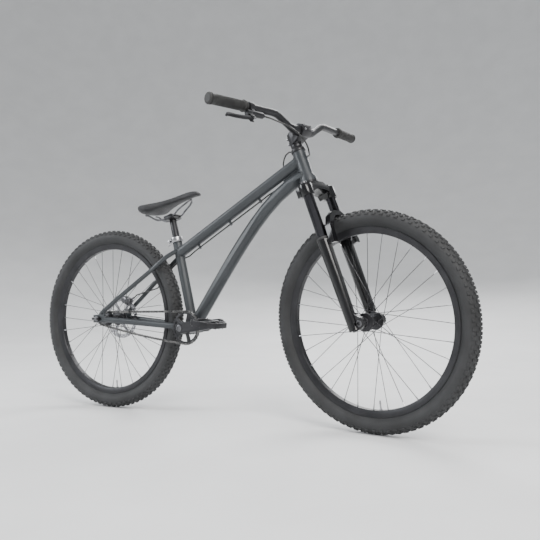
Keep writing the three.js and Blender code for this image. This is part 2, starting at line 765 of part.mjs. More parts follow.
function chainRun() {
  const between = rearAxle.clone().sub(bracket);
  const lean = Math.acos((ringPitchRadius - cogPitchRadius) / chainstayLength);
  const line = Math.atan2(between.z, between.x);
  const upper = line - lean;
  const lower = line + lean;
  const places = [pointOn(bracket, ringPitchRadius, upper)];
  const leave = pointOn(rearAxle, cogPitchRadius, upper);
  const run = leave.clone().sub(places[0]);
  const upperLinks = Math.floor(run.length() / chainPitch);
  run.setLength(chainPitch);
  for (let i = 1; i <= upperLinks; i++) places.push(places[0].clone().addScaledVector(run, i));
  const free = places.at(-1).clone().sub(rearAxle);
  const reach = free.length();
  const turn = Math.acos((cogPitchRadius ** 2 + reach ** 2 - chainPitch ** 2) / (2 * cogPitchRadius * reach));
  const cogStart = Math.atan2(free.z, free.x) + turn;
  const cogWrap = (slope) => (lower - slope - cogStart) / cogStep;
  const ringWrap = (slope) => (upper + 2 * Math.PI - lower - slope) / ringStep;
  const seated = (cogSteps, ringSteps) => {
    const from = pointOn(rearAxle, cogPitchRadius, cogStart + cogSteps * cogStep);
    const to = pointOn(bracket, ringPitchRadius, upper - ringSteps * ringStep);
    const chord = from.distanceTo(to);
    const fixed = upperLinks + 1 + cogSteps + ringSteps;
    let links = Math.ceil(chord / chainPitch);
    if ((fixed + links) % 2) links += 1;
    const slack = links * chainPitch - chord;
    const slope = 4 * Math.sqrt((3 * slack) / (8 * chord));
    const misfit = Math.max(Math.abs(cogWrap(slope) - cogSteps), Math.abs(ringWrap(slope) - ringSteps));
    return { cogSteps, ringSteps, from, to, chord, links, misfit };
  };
  // The slack run leaves each wheel at the tooth gap that its own slope comes nearest to
  const earlier = [0, 1, 2, 3, 4];
  const lowerRun = earlier
    .flatMap((a) => earlier.map((b) => seated(Math.ceil(cogWrap(0)) - a, Math.ceil(ringWrap(0)) - b)))
    .reduce((best, next) => (next.misfit < best.misfit ? next : best));
  for (let i = 0; i <= lowerRun.cogSteps; i++) {
    places.push(pointOn(rearAxle, cogPitchRadius, cogStart + i * cogStep));
  }
  let small = 0;
  let large = Math.PI / lowerRun.links;
  const reachOf = (bend) => (chainPitch * Math.sin((lowerRun.links * bend) / 2)) / Math.sin(bend / 2);
  for (let i = 0; i < 60; i++) {
    const bend = (small + large) / 2;
    if (reachOf(bend) > lowerRun.chord) small = bend;
    else large = bend;
  }
  const chordLine = lowerRun.to.clone().sub(lowerRun.from);
  let heading = Math.atan2(chordLine.z, chordLine.x) - ((lowerRun.links - 1) * small) / 2;
  const walk = lowerRun.from.clone();
  for (let i = 1; i < lowerRun.links; i++) {
    walk.add(at(Math.cos(heading), 0, Math.sin(heading)).multiplyScalar(chainPitch));
    places.push(walk.clone());
    heading += small;
  }
  for (let i = lowerRun.ringSteps; i > 0; i--) {
    places.push(pointOn(bracket, ringPitchRadius, upper - i * ringStep));
  }
  return { places, ringPhase: upper, cogPhase: cogStart };
}

const chainPath = chainRun();

// Side strips of the chain: one closed band on each side of the teeth, straight where the chain is
function chainStrip(places, low, high) {
  const count = places.length;
  const bends = places.filter((place, i) => {
    const before = places[(i + count - 1) % count];
    const after = places[(i + 1) % count];
    const bend = before.clone().sub(place).cross(after.clone().sub(place)).length();
    return bend > chainPitch * plateHalfHeight * 0.02;
  });
  const edge = (offset) =>
    bends.map((place, i) => {
      const before = bends[(i + bends.length - 1) % bends.length];
      const after = bends[(i + 1) % bends.length];
      const way = place.clone().sub(before).normalize().add(after.clone().sub(place).normalize()).normalize();
      return [place.x + way.z * offset, place.z - way.x * offset];
    });
  return slab(edge(plateHalfHeight), low, high, [edge(-plateHalfHeight)]);
}

function makeChain() {
  const { places } = chainPath;
  const near = innerPlatePlace;
  const far = innerPlatePlace + plateThickness * 2;
  const half = innerPlatePlace + plateThickness / 2;
  const strips = [
    chainStrip(places, -chainLine - far, -chainLine - near),
    chainStrip(places, -chainLine + near, -chainLine + far),
  ];
  const rollers = places.map((place, i) => {
    const way = places[(i + 1) % places.length].clone().sub(places.at(i - 1)).normalize();
    const lean = Math.atan2(way.z, way.x);
    const square = circle(rollerRadius, 4).map(([a, b]) => [
      place.x + a * Math.cos(lean) - b * Math.sin(lean),
      place.z + a * Math.sin(lean) + b * Math.cos(lean),
    ]);
    return slab(square, -chainLine - half, -chainLine + half);
  });
  piece(frame, "chain", wasm.Manifold.union([...strips, ...rollers]), darkSteel);
}

// A toothed outline whose gaps seat the rollers
function toothed(middle, pitchRadius, teeth, phase) {
  const seat = rollerRadius + toothClearance;
  const step = (2 * Math.PI) / teeth;
  const tip = pitchRadius + rollerRadius * 0.55;
  const tipShare = 0.45;
  return Array.from({ length: teeth }, (_, i) => {
    const gap = phase + i * step;
    const foot = pointOn(middle, pitchRadius, gap);
    const sides = [0.42, -0.42].map((wing) => {
      const angle = gap + Math.PI + wing * Math.PI * 0.5;
      return [foot.x + seat * Math.cos(angle), foot.z + seat * Math.sin(angle)];
    });
    const [start, end] = [-tipShare, tipShare].map((share) => pointOn(middle, tip, gap + share * step));
    return [[start.x, start.z], ...sides, [end.x, end.z]];
  }).flat();
}

function sprocket(middle, pitchRadius, teeth, phase, holes) {
  const half = toothThickness / 2;
  return slab(toothed(middle, pitchRadius, teeth, phase), -chainLine - half, -chainLine + half, holes);
}

// Crank, chainring and pedals turn about the bottom bracket
const ringWindows = 5;
const ringSpokeShare = 0.26;
function makeChainring(group) {
  const outer = ringPitchRadius - rollerRadius * 2.2;
  const inner = chainringBore + rollerRadius;
  const window = (i) => {
    const start = ((i + ringSpokeShare / 2) * 2 * Math.PI) / ringWindows;
    const end = ((i + 1 - ringSpokeShare / 2) * 2 * Math.PI) / ringWindows;
    const arc = (radius, shares) =>
      shares.map((share) => pointOn(bracket, radius, start + (end - start) * share)).map((p) => [p.x, p.z]);
    return [...arc(outer, [0, 0.33, 0.67, 1]), ...arc(inner, [0.8, 0.2])];
  };
  const bore = circle(bored(chainringBore, 12), 12, bracket.x, bracket.z);
  const windows = Array.from({ length: ringWindows }, (_, i) => window(i));
  const ring = sprocket(bracket, ringPitchRadius, chainringTeeth, chainPath.ringPhase, [bore, ...windows]);
  piece(group, "chainring", ring, satinBlack);
}

function makeCog() {
  const bore = circle(driverRadius + runGap * 2, 12, 0, tyreRadius);
  const teeth = sprocket(rearAxle, cogPitchRadius, cogTeeth, chainPath.cogPhase, [bore]);
  const collarRadius = cogPitchRadius - rollerRadius * 1.6;
  const collar = turnedRing(
    [
      [driverRadius + runGap, -chainLine - toothThickness * 2],
      [collarRadius, -chainLine - toothThickness * 2],
      [collarRadius, -chainLine + toothThickness * 2],
      [driverRadius + runGap, -chainLine + toothThickness * 2],
    ],
    12,
    new THREE.Matrix4().makeTranslation(0, 0, tyreRadius),
  );
  piece(frame, "rear_cog", joined([teeth, collar]), darkSteel);
}

// A crank arm reaches ahead on the right and behind on the left
function makeCrankArm(group, side, name) {
  const half = Math.PI / 2;
  const turnBack = rad(crankRestAngle) + (side > 0 ? 0 : Math.PI);
  const end = pointOn(bracket, crankLength, turnBack + Math.PI);
  const arc = (middle, radius, start) =>
    [0, 0.25, 0.5, 0.75, 1].map((share) => {
      const point = pointOn(middle, radius, start + share * Math.PI);
      return [point.x, point.z];
    });
  const shape = [
    ...arc(bracket, crankBossRadius, turnBack - half),
    ...arc(end, crankEndRadius, turnBack + half),
  ];
  const outer = side * crankOuterPlace;
  const inner = side * (crankOuterPlace - crankThickness);
  const arm = slab(shape, Math.min(outer, inner), Math.max(outer, inner));
  const onSpindle = (place) => at(bracket.x, place, bracket.z);
  const bossEnd = onSpindle(side * (chainLine - toothThickness / 2));
  const boss = rod(onSpindle((inner + outer) / 2), bossEnd, chainringBore - seatGap, undefined, 12);
  const flangeEnds = [inner, side * (chainLine + toothThickness / 2 + seatGap)].map(onSpindle);
  const flange = rod(...flangeEnds, crankBossRadius * 0.9, chainringBore + rollerRadius, 12);
  const bore = drill(bossEnd, onSpindle(outer), spindleRadius + seatGap, 12);
  const eye = drill(at(end.x, inner, end.z), at(end.x, outer, end.z), pedalAxleRadius + seatGap, 10);
  piece(group, "crank_arm_" + name, without(joined([arm, boss, flange]), [bore, eye]), satinBlack);
  return end;
}

const pedalInner = crankOuterPlace + pedalGap;
const pedalOuter = pedalInner + pedalLength;
const pedalWall = 6;

function makePedal(parent, side, name, end) {
  const group = new THREE.Group();
  group.position.copy(end);
  group.rotation.y = rad(pedalTilt);
  parent.add(group);
  const start = side * (crankOuterPlace - crankThickness);
  const stop = side * (pedalOuter - pedalWall);
  const collarEnds = [crankOuterPlace + seatGap, pedalInner - seatGap].map((place) => at(0, side * place, 0));
  const collar = rod(...collarEnds, pedalAxleRadius * 1.5);
  const axle = rod(at(0, start, 0), at(0, stop - side * seatGap, 0), pedalAxleRadius, undefined, 10);
  piece(group, "pedal_axle_" + name, joined([axle, collar]), darkSteel);
  const half = pedalWidth / 2;
  const corner = pedalRail * 1.6;
  const low = side > 0 ? pedalInner : -pedalOuter;
  const high = low + pedalLength;
  const rim = [
    [-half + corner, low],
    [half - corner, low],
    [half, low + corner],
    [half, high - corner],
    [half - corner, high],
    [-half + corner, high],
    [-half, high - corner],
    [-half, low + corner],
  ];
  const window = (way) => {
    const near = pedalBarrelRadius;
    const far = half - pedalRail;
    return [
      [way * near, low + pedalRail],
      [way * (far - pedalRail), low + pedalRail],
      [way * far, low + pedalRail * 2],
      [way * far, high - pedalRail * 2],
      [way * (far - pedalRail), high - pedalRail],
      [way * near, high - pedalRail],
    ];
  };
  const plate = (points, thickness) => {
    const cut = new THREE.ExtrudeGeometry(outline(points), { depth: thickness, bevelEnabled: false });
    cut.translate(0, 0, -thickness / 2);
    return solid(cut);
  };
  const windows = [1, -1].map((way) => plate(window(way), pedalThickness + cutRun));
  const cage = without(plate(rim, pedalThickness), windows);
  const barrel = rod(at(0, low, 0), at(0, high, 0), pedalBarrelRadius * 1.06, undefined, 10);
  const mouth = at(0, side * (pedalInner - cutRun), 0);
  const bore = rod(mouth, at(0, stop, 0), pedalAxleRadius + seatGap * 1.5, undefined, 10);
  piece(group, "pedal_" + name, cage.add(barrel).subtract(bore), satinBlack);
}

function makeCrank() {
  const group = new THREE.Group();
  frame.add(group);
  makeChainring(group);
  const rightEnd = makeCrankArm(group, -1, "right");
  const leftEnd = makeCrankArm(group, 1, "left");
  const end = crankOuterPlace - crankThickness * 0.1;
  const [spindleRight, spindleLeft] = [-end, end].map((place) => at(bracket.x, place, bracket.z));
  piece(group, "crank_spindle", rod(spindleRight, spindleLeft, spindleRadius), darkSteel);
  makePedal(group, -1, "right", rightEnd);
  makePedal(group, 1, "left", leftEnd);
}

// A wheel is built round its own axle, which lies along Y
const wheelMiddle = at(0, 0, 0);
const facetTurn = new THREE.Matrix4().makeRotationY(Math.PI / wheelFacets);
const toFlat = 1 / Math.cos(Math.PI / wheelFacets);
const wheelRing = (points) => turnedRing(points.map(([r, y]) => [r * toFlat, y]), wheelFacets, facetTurn);

function makeTyre(group, name) {
  const middle = tyreRadius - tyreWidth / 2;
  const outer = tyreWidth / 2;
  const bead = rimWidth / 2 - rimFlangeWall - seatGap;
  const angles = [120, 90, 54];
  const wall = angles.map((angle) => [middle + outer * Math.cos(rad(angle)), outer * Math.sin(rad(angle))]);
  const lining = [105, 50].map((angle) => [
    middle + (outer - tyreWall) * Math.cos(rad(angle)),
    (outer - tyreWall) * Math.sin(rad(angle)),
  ]);
  const half = [
    [rimSeatRadius + seatGap, bead],
    [rimFlangeRadius + seatGap, bead],
    ...wall,
    [tyreRadius, treadFlat / 2],
  ];
  const inside = [[rimSeatRadius + seatGap, bead - tyreWall], ...lining];
  const mirrored = (points) => points.map(([r, y]) => [r, -y]);
  const skin = [...mirrored(half), ...half.reverse(), ...inside, ...mirrored(inside).reverse()];
  piece(group, name + "_tyre", wheelRing(skin), tyreRubber);
}

function makeRim(group, name) {
  const half = rimWidth / 2;
  const seat = half - rimFlangeWall;
  const narrow = rimNarrowWidth / 2;
  const ring = wheelRing([
    [rimFlangeRadius, -half],
    [rimFlangeRadius, -seat],
    [rimSeatRadius, -seat],
    [rimSeatRadius, seat],
    [rimFlangeRadius, seat],
    [rimFlangeRadius, half],
    [rimInnerRadius, narrow],
    [rimInnerRadius, -narrow],
  ]);
  const valveAngle = -Math.PI / 2 + Math.PI / wheelFacets;
  const foot = rimInnerRadius + valveRadius;
  const [root, tip] = [foot, foot - valveLength].map((radius) => pointOn(wheelMiddle, radius, valveAngle));
  const valve = rod(root, tip, valveRadius, valveRadius * 0.8, 8);
  piece(group, name + "_rim", ring.add(valve), satinBlack);
}

function spokes(leftPlace, rightPlace) {
  const step = (2 * Math.PI) / spokesPerSide;
  const list = [];
  for (const [side, place] of [[1, leftPlace], [-1, -rightPlace]]) {
    for (let i = 0; i < spokesPerSide; i++) {
      const hole = i * step + (side > 0 ? 0 : step / 2);
      const lead = (i % 2 ? -1 : 1) * spokeCrosses * step;
      const stagger = (i % 2 ? -1 : 1) * spokeStagger;
      const from = pointOn(wheelMiddle, hubFlangeRadius - spokeInset, hole).setY(place + stagger);
      const to = pointOn(wheelMiddle, rimInnerRadius - seatGap, hole + lead);
      to.setY(side * spokeInset + stagger * 0.7);
      list.push(rod(from, to, spokeRadius, undefined, 3));
    }
  }
  return list;
}

function flange(place, facing) {
  const thick = hubFlangeWall / 2;
  return [
    [hubWaistRadius, place - thick * 2],
    [hubFlangeRadius, place - thick],
    [hubFlangeRadius, place + thick],
    [hubWaistRadius + facing, place + thick * 2],
  ];
}

function makeFrontHub(group) {
  const end = frontHubWidth / 2 - seatGap;
  const bore = frontAxleRadius + runGap;
  const place = frontFlangePlace;
  const profile = [
    [bore, -end],
    [frontHubEndRadius, -end],
    [frontHubEndRadius, -place - hubFlangeWall],
    ...flange(-place, 0),
    ...flange(place, 0),
    [frontHubEndRadius, place + hubFlangeWall],
    [frontHubEndRadius, end],
    [bore, end],
  ];
  const shell = turnedRing(profile, hubFacets);
  piece(group, "front_hub", wasm.Manifold.union([shell, ...spokes(place, place)]), satinBlack);
}

function makeRearHub(group) {
  const end = rearHubWidth / 2;
  const bore = rearAxleRadius + seatGap * 2;
  const rotorSeat = rotorPlace - rotorThickness / 2 - seatGap;
  const driverEnd = -chainLine - toothThickness * 2;
  const profile = [
    [bore, -end],
    [rearHubEndRadius, -end],
    [rearHubEndRadius, driverEnd - runGap],
    [driverRadius, driverEnd - runGap],
    [driverRadius, -rearFlangeRight - hubFlangeWall * 2],
    ...flange(-rearFlangeRight, 0),
    ...flange(rearFlangeLeft, rotorBossRadius - hubWaistRadius),
    [rotorBossRadius, rotorSeat],
    [rotorPilot, rotorSeat],
    [rotorPilot, rotorPlace + rotorThickness],
    [rearHubEndRadius, rotorPlace + rotorThickness],
    [rearHubEndRadius, end],
    [bore, end],
  ];
  const shell = turnedRing(profile, hubFacets);
  const hub = wasm.Manifold.union([shell, ...spokes(rearFlangeLeft, rearFlangeRight)]);
  piece(group, "rear_hub", hub, satinBlack);
}

// Rotor: a waved ring on slanting arms round a bolted middle
const rotorPilot = rotorBossRadius * 0.72;
const rotorWaveShare = 0.985;
function makeRotor(group) {
  const waves = rotorArms * 3;
  const rim = Array.from({ length: waves * 2 }, (_, i) => {
    const radius = rotorRadius * (i % 2 ? rotorWaveShare : 1);
    const angle = (i * Math.PI) / waves;
    return [radius * Math.cos(angle), radius * Math.sin(angle)];
  });
  const inner = rotorRadius - rotorRingDepth;
  const middle = rotorBossRadius * 1.12;
  const step = (2 * Math.PI) / rotorArms;
  const windows = Array.from({ length: rotorArms }, (_, i) => {
    const arc = (radius, shares) =>
      shares.map((share) => {
        const angle = (i + share) * step;
        return [radius * Math.cos(angle), radius * Math.sin(angle)];
      });
    return [...arc(inner, [0.12, 0.4, 0.65, 0.9]), ...arc(middle, [0.58, 0.0])];
  });
  const holes = [circle(bored(rotorPilot + seatGap, 16), 16), ...windows];
  const low = rotorPlace - rotorThickness / 2;
  piece(group, "rear_rotor", slab(rim, low, low + rotorThickness, holes), silver);
}

function makeRearWheel() {
  const group = new THREE.Group();
  group.position.copy(rearAxle);
  frame.add(group);
  makeTyre(group, "rear");
  makeRim(group, "rear");
  makeRearHub(group);
  makeRotor(group);
}

// Everything that steers is built in a space whose Z is the steering axis
const steering = new THREE.Group();
steering.position.copy(steerFoot);
steering.quaternion.setFromRotationMatrix(new THREE.Matrix4().makeBasis(steerAhead, upY, steerUp));
steering.rotateZ(rad(steerAtRest));
frame.add(steering);

const stanchionSide = stanchionSpacing / 2;
const stanchionInsert = forkTravel + sealHeight * 2;
const legTopRadius = stanchionRadius + legTopWall;
const crownShoulder = axleToCrown - crownHeight * 0.24;
const crownBase = axleToCrown - crownHeight;
const steererTop = headTop + upperCupHeight + spacerHeight + stemHeight;
const onLeg = (side, height) => at(stanchionOffset, side * stanchionSide, height);

// A plate with its outline in Y and Z and its thickness along X
function plateAhead(points, low, high) {
  const plate = new THREE.ExtrudeGeometry(outline(points), { depth: high - low, bevelEnabled: false });
  const turn = new THREE.Matrix4().makeBasis(at(0, 1, 0), at(0, 0, 1), at(1, 0, 0)).setPosition(low, 0, 0);
  return solid(plate, turn);
}

function makeCrown() {
  const outer = stanchionSide + legTopRadius * 0.4;
  const half = [
    [outer, crownBase + crownWall],
    [outer, crownShoulder],
    [stanchionSide - legTopRadius, crownShoulder],
    [steererRadius * 2, axleToCrown - crownWall / 2],
    [steererRadius * 1.7, axleToCrown],
  ];
  const under = [
    [steererRadius * 1.2, axleToCrown - crownMiddle],
    [stanchionSide - legTopRadius, axleToCrown - crownMiddle - crownWall],
    [stanchionSide - stanchionRadius, crownBase + crownWall],
  ];
  const shape = [
    ...half,
    ...half.map(([y, z]) => [-y, z]).reverse(),
    ...under.map(([y, z]) => [-y, z]).reverse(),
    ...under,
  ];
  const back = -steererRadius - crownWall / 2;
  const bridge = plateAhead(shape, back + crownWall / 2, stanchionOffset + stanchionRadius);
  const collarFoot = at(0, 0, axleToCrown - crownMiddle);
  const collar = rod(collarFoot, at(0, 0, axleToCrown), steererRadius * 1.7, undefined, 16);
  const bossEnds = (side) => [crownBase, crownShoulder].map((height) => onLeg(side, height));
  const bosses = [1, -1].map((side) => rod(...bossEnds(side), legTopRadius, undefined, 16));
  const bores = [1, -1].map((side) => drill(...bossEnds(side), stanchionRadius + seatGap));
  const steererFoot = at(0, 0, axleToCrown - crownWall);
  const steerer = rod(steererFoot, at(0, 0, steererTop - seatGap), steererRadius, undefined, 16);
  const body = without(joined([bridge, collar, ...bosses]), bores);
  piece(steering, "fork_crown", body.add(steerer), glossBlack);
  for (const [side, name] of [[1, "left"], [-1, "right"]]) {
    const foot = onLeg(side, legTop - stanchionInsert);
    const head = onLeg(side, crownShoulder + crownWall / 2);
    const cap = onLeg(side, crownShoulder + seatGap);
    const tube = rod(foot, head, stanchionRadius, undefined, 12);
    const knob = rod(cap, head, stanchionRadius + crownWall / 2, stanchionRadius, 12);
    piece(steering, "stanchion_" + name, tube.add(knob), glossBlack);
  }
}

// The lower legs slide on the stanchions as one casting, tied by an arch ahead of them
function makeLowers() {
  const group = new THREE.Group();
  steering.add(group);
  const archBack = stanchionOffset + legTopRadius + runGap * 4;
  const archFoot = legTop - legTopRadius;
  const archTop = tyreRadius + archRise + archHeight;
  const arc = (width, height) =>
    [0, 25, 50, 75, 105, 130, 155, 180].map((angle) => [
      width * Math.cos(rad(angle)),
      archFoot + height * Math.sin(rad(angle)) ** 0.8,
    ]);
  const outer = arc(stanchionSide + legTopRadius * 0.55, archTop - archFoot);
  const inner = arc(stanchionSide - legTopRadius * 0.45, archTop - archHeight - archFoot);
  const parts = [plateAhead([...outer, ...inner.reverse()], archBack, archBack + archDepth)];
  const bores = [];
  for (const side of [1, -1]) {
    parts.push(rod(onLeg(side, -legBelowAxle), onLeg(side, legTop), legEndRadius, legTopRadius, 20));
    const footLow = side * (stanchionSide - legTopRadius * 0.45);
    const footHigh = side * (stanchionSide + legTopRadius * 0.55);
    const footTop = legTop - crownWall;
    const foot = [[footLow, archFoot], [footHigh, archFoot], [footHigh, footTop], [footLow, footTop]];
    parts.push(plateAhead(foot, stanchionOffset, archBack + archDepth));
    const lugInner = frontHubWidth / 2 + seatGap;
    const lug = [
      [stanchionOffset - legEndRadius * 0.6, -legBelowAxle],
      [forkRake, -lugRadius],
      [forkRake + lugRadius * 0.8, -lugRadius * 0.6],
      [forkRake + lugRadius, 0],
      [forkRake + lugRadius * 0.8, lugRadius * 0.6],
      [forkRake, lugRadius * 1.4],
      [stanchionOffset, lugRadius * 2.8],
    ];
    const low = side > 0 ? lugInner : -stanchionSide - crownWall;
    const high = side > 0 ? stanchionSide + crownWall : -lugInner;
    parts.push(slab(lug, low, high));
    const insertEnd = legTop - stanchionInsert - forkTravel - runGap;
    bores.push(rod(onLeg(side, insertEnd), onLeg(side, legTop + cutRun), stanchionRadius + seatGap));
  }
  const far = stanchionSide + legEndRadius;
  bores.push(drill(at(forkRake, -far, 0), at(forkRake, far, 0), frontAxleRadius + seatGap, 16));
  piece(group, "fork_lowers", without(joined(parts), bores), glossBlack);
  for (const [side, name] of [[1, "left"], [-1, "right"]]) {
    const seal = turnedRing(
      [
        [bored(stanchionRadius + seatGap, 12), 0],
        [stanchionRadius + sealWall, 0],
        [stanchionRadius + sealWall, sealHeight * 0.6],
        [stanchionRadius + sealWall * 0.5, sealHeight],
        [bored(stanchionRadius + seatGap, 12), sealHeight],
      ],
      12,
      along(onLeg(side, legTop + seatGap), onLeg(side, legTop + sealHeight)),
    );
    piece(group, "wiper_" + name, seal, gripRubber);
  }
  const axleEnd = stanchionSide + crownWall;
  const shaft = rod(at(forkRake, -axleEnd, 0), at(forkRake, axleEnd, 0), frontAxleRadius, undefined, 16);
  const socket = [1, -1].map((side) =>
    rod(
      at(forkRake, side * (axleEnd - frontAxleRadius), 0),
      at(forkRake, side * (axleEnd + cutRun), 0),
      frontAxleRadius * 0.6,
      undefined,
      6,
    ),
  );
  piece(group, "front_axle", without(shaft, socket), darkSteel);
  const wheel = new THREE.Group();
  wheel.position.set(forkRake, 0, 0);
  wheel.rotation.y = rad(90 - headAngle);
  group.add(wheel);
  makeTyre(wheel, "front");
  makeRim(wheel, "front");
  makeFrontHub(wheel);
}

// Stem, bar and grips
const stemBase = headTop + upperCupHeight + spacerHeight;
const barPlace = at(stemReach, 0, stemBase + stemHeight / 2 + stemRise);
const upright = (from, to, points, facets) => turnedRing(points, facets, along(at(0, 0, from), at(0, 0, to)));

function makeStem() {
  const bore = steererRadius + seatGap;
  const spacerLow = headTop + upperCupHeight + seatGap;
  const spacerRise = spacerHeight - seatGap * 2;
  const spacerOuter = steererRadius + crownWall;
  const section = [[bore, 0], [spacerOuter, 0], [spacerOuter, spacerRise], [bore, spacerRise]];
  const spacer = upright(spacerLow, stemBase, section, 16);
  piece(steering, "headset_spacer", spacer, satinBlack);
  const clamp = barClampRadius + stemWall;
  const split = barPlace.x;
  const half = clamp * 1.15;
  const neck = [
    [0, stemBase],
    [split - seatGap, barPlace.z - clamp],
    [split - seatGap, barPlace.z + clamp],
    [bore + stemWall, stemBase + stemHeight],
    [0, stemBase + stemHeight],
  ];
  const body = rod(at(0, 0, stemBase), at(0, 0, stemBase + stemHeight), bore + stemWall, undefined, 16);
  const barEnds = [-half, half].map((left) => at(split, left, barPlace.z));
  const barBore = drill(...barEnds, barClampRadius + seatGap, 16);
  const steererBore = drill(at(0, 0, stemBase), at(0, 0, stemBase + stemHeight), bore, 16);
  piece(steering, "stem", without(body.add(slab(neck, -half, half)), [barBore, steererBore]), satinBlack);
  const front = [
    [split + seatGap, barPlace.z - clamp],
    [split + barClampRadius * 0.6, barPlace.z - clamp],
    [split + barClampRadius + faceplateDepth, barPlace.z - clamp / 2],
    [split + barClampRadius + faceplateDepth, barPlace.z + clamp / 2],
    [split + barClampRadius * 0.6, barPlace.z + clamp],
    [split + seatGap, barPlace.z + clamp],
  ];
  piece(steering, "stem_faceplate", slab(front, -half, half).subtract(barBore), satinBlack);
  const capLow = stemBase + stemHeight + seatGap;
  const cap = rod(at(0, 0, capLow), at(0, 0, capLow + capHeight), bore + stemWall * 0.6, bore, 16);
  const bolt = rod(at(0, 0, capLow), at(0, 0, capLow + capHeight * 1.5), capHeight, undefined, 8);
  piece(steering, "top_cap", cap.add(bolt), satinBlack);
}

const kneeStart = barPlace.clone().add(at(0, barKneeStart, 0));
const kneeEnd = barPlace.clone().add(at(barKneeAhead, barKneeEnd, barKneeRise));
const barTip = barPlace.clone().add(at(-barSweep, barHalfWidth, barRise));
const toSide = (p, side) => at(p.x, side * p.y, p.z);

// A loft of round sections square to a path that runs mainly along Y
function barSkin(stations, sides) {
  return lofted(
    stations.map(([place, radius], i) => {
      const before = stations[Math.max(i - 1, 0)][0];
      const after = stations[Math.min(i + 1, stations.length - 1)][0];
      const way = after.clone().sub(before).normalize();
      const ahead = at(1, 0, 0).addScaledVector(way, -way.x).normalize();
      const above = ahead.clone().cross(way);
      return circle(radius, sides).map(([a, b]) => {
        return place.clone().addScaledVector(ahead, a).addScaledVector(above, b);
      });
    }),
  );
}

function makeHandlebar() {
  const bend = barKneeStart * 0.3;
  const corner = (before, middle, after) => {
    const start = before.clone().sub(middle).setLength(bend).add(middle);
    const end = after.clone().sub(middle).setLength(bend).add(middle);
    const mid = start.clone().add(end).multiplyScalar(0.25).addScaledVector(middle, 0.5);
    return [start, mid, end];
  };
  const clampEdge = barPlace.clone().add(at(0, barKneeStart * 0.62, 0));
  const first = corner(barPlace, kneeStart, kneeEnd);
  const second = corner(kneeStart, kneeEnd, barTip);
  const half = [
    [clampEdge, barClampRadius],
    [first[0], barClampRadius * 0.96],
    [first[1], (barClampRadius + barRadius) / 2],
    ...[first[2], ...second, barTip].map((place) => [place, barRadius]),
  ];
  const mirrored = half.map(([place, radius]) => [toSide(place, -1), radius]).reverse();
  piece(steering, "handlebar", barSkin([...mirrored, ...half], 12), satinBlack);
}

const barOut = (side) => toSide(barTip.clone().sub(kneeEnd).normalize(), side);
const onBar = (side, width) => {
  const share = (width - kneeEnd.y) / (barTip.y - kneeEnd.y);
  return toSide(kneeEnd.clone().lerp(barTip, share), side);
};

function makeGrip(side, name) {
  const end = toSide(barTip, side);
  const start = end.clone().addScaledVector(barOut(side), -gripLength);
  const bore = bored(barRadius + seatGap, 12);
  const depth = gripLength + seatGap;
  const profile = [
    [0, depth],
    [bore, depth],
    [bore, 0],
    [gripFlangeRadius, 0],
    [gripFlangeRadius, gripFlangeWidth],
    [gripRadius, gripFlangeWidth * 1.2],
    [gripRadius, gripLength - gripFlangeWidth * 2],
    [gripRadius * 1.12, gripLength - gripFlangeWidth * 1.5],
    [gripRadius * 1.12, depth + gripCap * 0.6],
    [gripRadius * 0.9, depth + gripCap],
    [0, depth + gripCap],
  ];
  piece(steering, "grip_" + name, turned(profile, 12, along(start, end)), gripRubber);
}

// Brake lever on the right: a band round the bar, a cylinder beside it and a blade on a pin
const leverOut = barOut(-1);
const leverMiddle = onBar(-1, leverPlace);
const leverTilt = rad(leverAngle + 90 - headAngle);
const leverRough = at(Math.cos(leverTilt), 0, -Math.sin(leverTilt));
const leverAhead = leverRough.clone().addScaledVector(leverOut, -leverRough.dot(leverOut)).normalize();
const leverAxis = leverOut.clone().cross(leverAhead);
const leverPlane = new THREE.Matrix4().makeBasis(leverOut, leverAhead, leverAxis).setPosition(leverMiddle);
const fromLever = (ahead, out, across = 0) => at(out, ahead, across).applyMatrix4(leverPlane);
const leverPivotOut = leverBodyLength * 0.38;
const leverPivotAhead = leverReach + leverDrop;

function makeLeverBody() {
  const bandHalf = leverBandWidth / 2;
  const band = rod(fromLever(0, -bandHalf), fromLever(0, bandHalf), barRadius + stemWall, undefined, 12);
  const bandBore = drill(fromLever(0, -bandHalf), fromLever(0, bandHalf), barRadius + seatGap, 12);
  const armEnds = [fromLever(barRadius, 0), fromLever(leverReach, 0)];
  const arm = rod(...armEnds, leverBodyRadius * 0.8, leverBodyRadius * 0.9, 6);
  const near = -leverBodyLength / 2;
  const nearEnd = fromLever(leverReach, near);
  const cylinder = rod(nearEnd, fromLever(leverReach, -near), leverBodyRadius, undefined, 10);
  const portEnd = fromLever(leverReach, near - leverPortLength);
  const port = rod(nearEnd, portEnd, hoseRadius * 1.8, undefined, 6);
  const slotHalf = leverBladeHalf + runGap;
  const earHalf = slotHalf + leverPinRadius * 0.8;
  const earRadius = leverPinRadius * 2.4;
  const ears = blockBetween(
    at(leverPivotOut - earRadius, leverReach, -earHalf),
    at(leverPivotOut + earRadius, leverPivotAhead + earRadius, earHalf),
    leverPlane,
  );
  const slot = blockBetween(
    at(leverPivotOut - earRadius - cutRun, leverReach + leverBodyRadius + runGap, -slotHalf),
    at(leverPivotOut + earRadius + cutRun, leverPivotAhead + earRadius + cutRun, slotHalf),
    leverPlane,
  );
  const pinHole = drill(
    fromLever(leverPivotAhead, leverPivotOut, -earHalf),
    fromLever(leverPivotAhead, leverPivotOut, earHalf),
    leverPinRadius + seatGap,
    8,
  );
  const body = without(joined([band, arm, cylinder, port, ears]), [bandBore, slot, pinHole]);
  piece(steering, "lever_body", body, satinBlack);
}

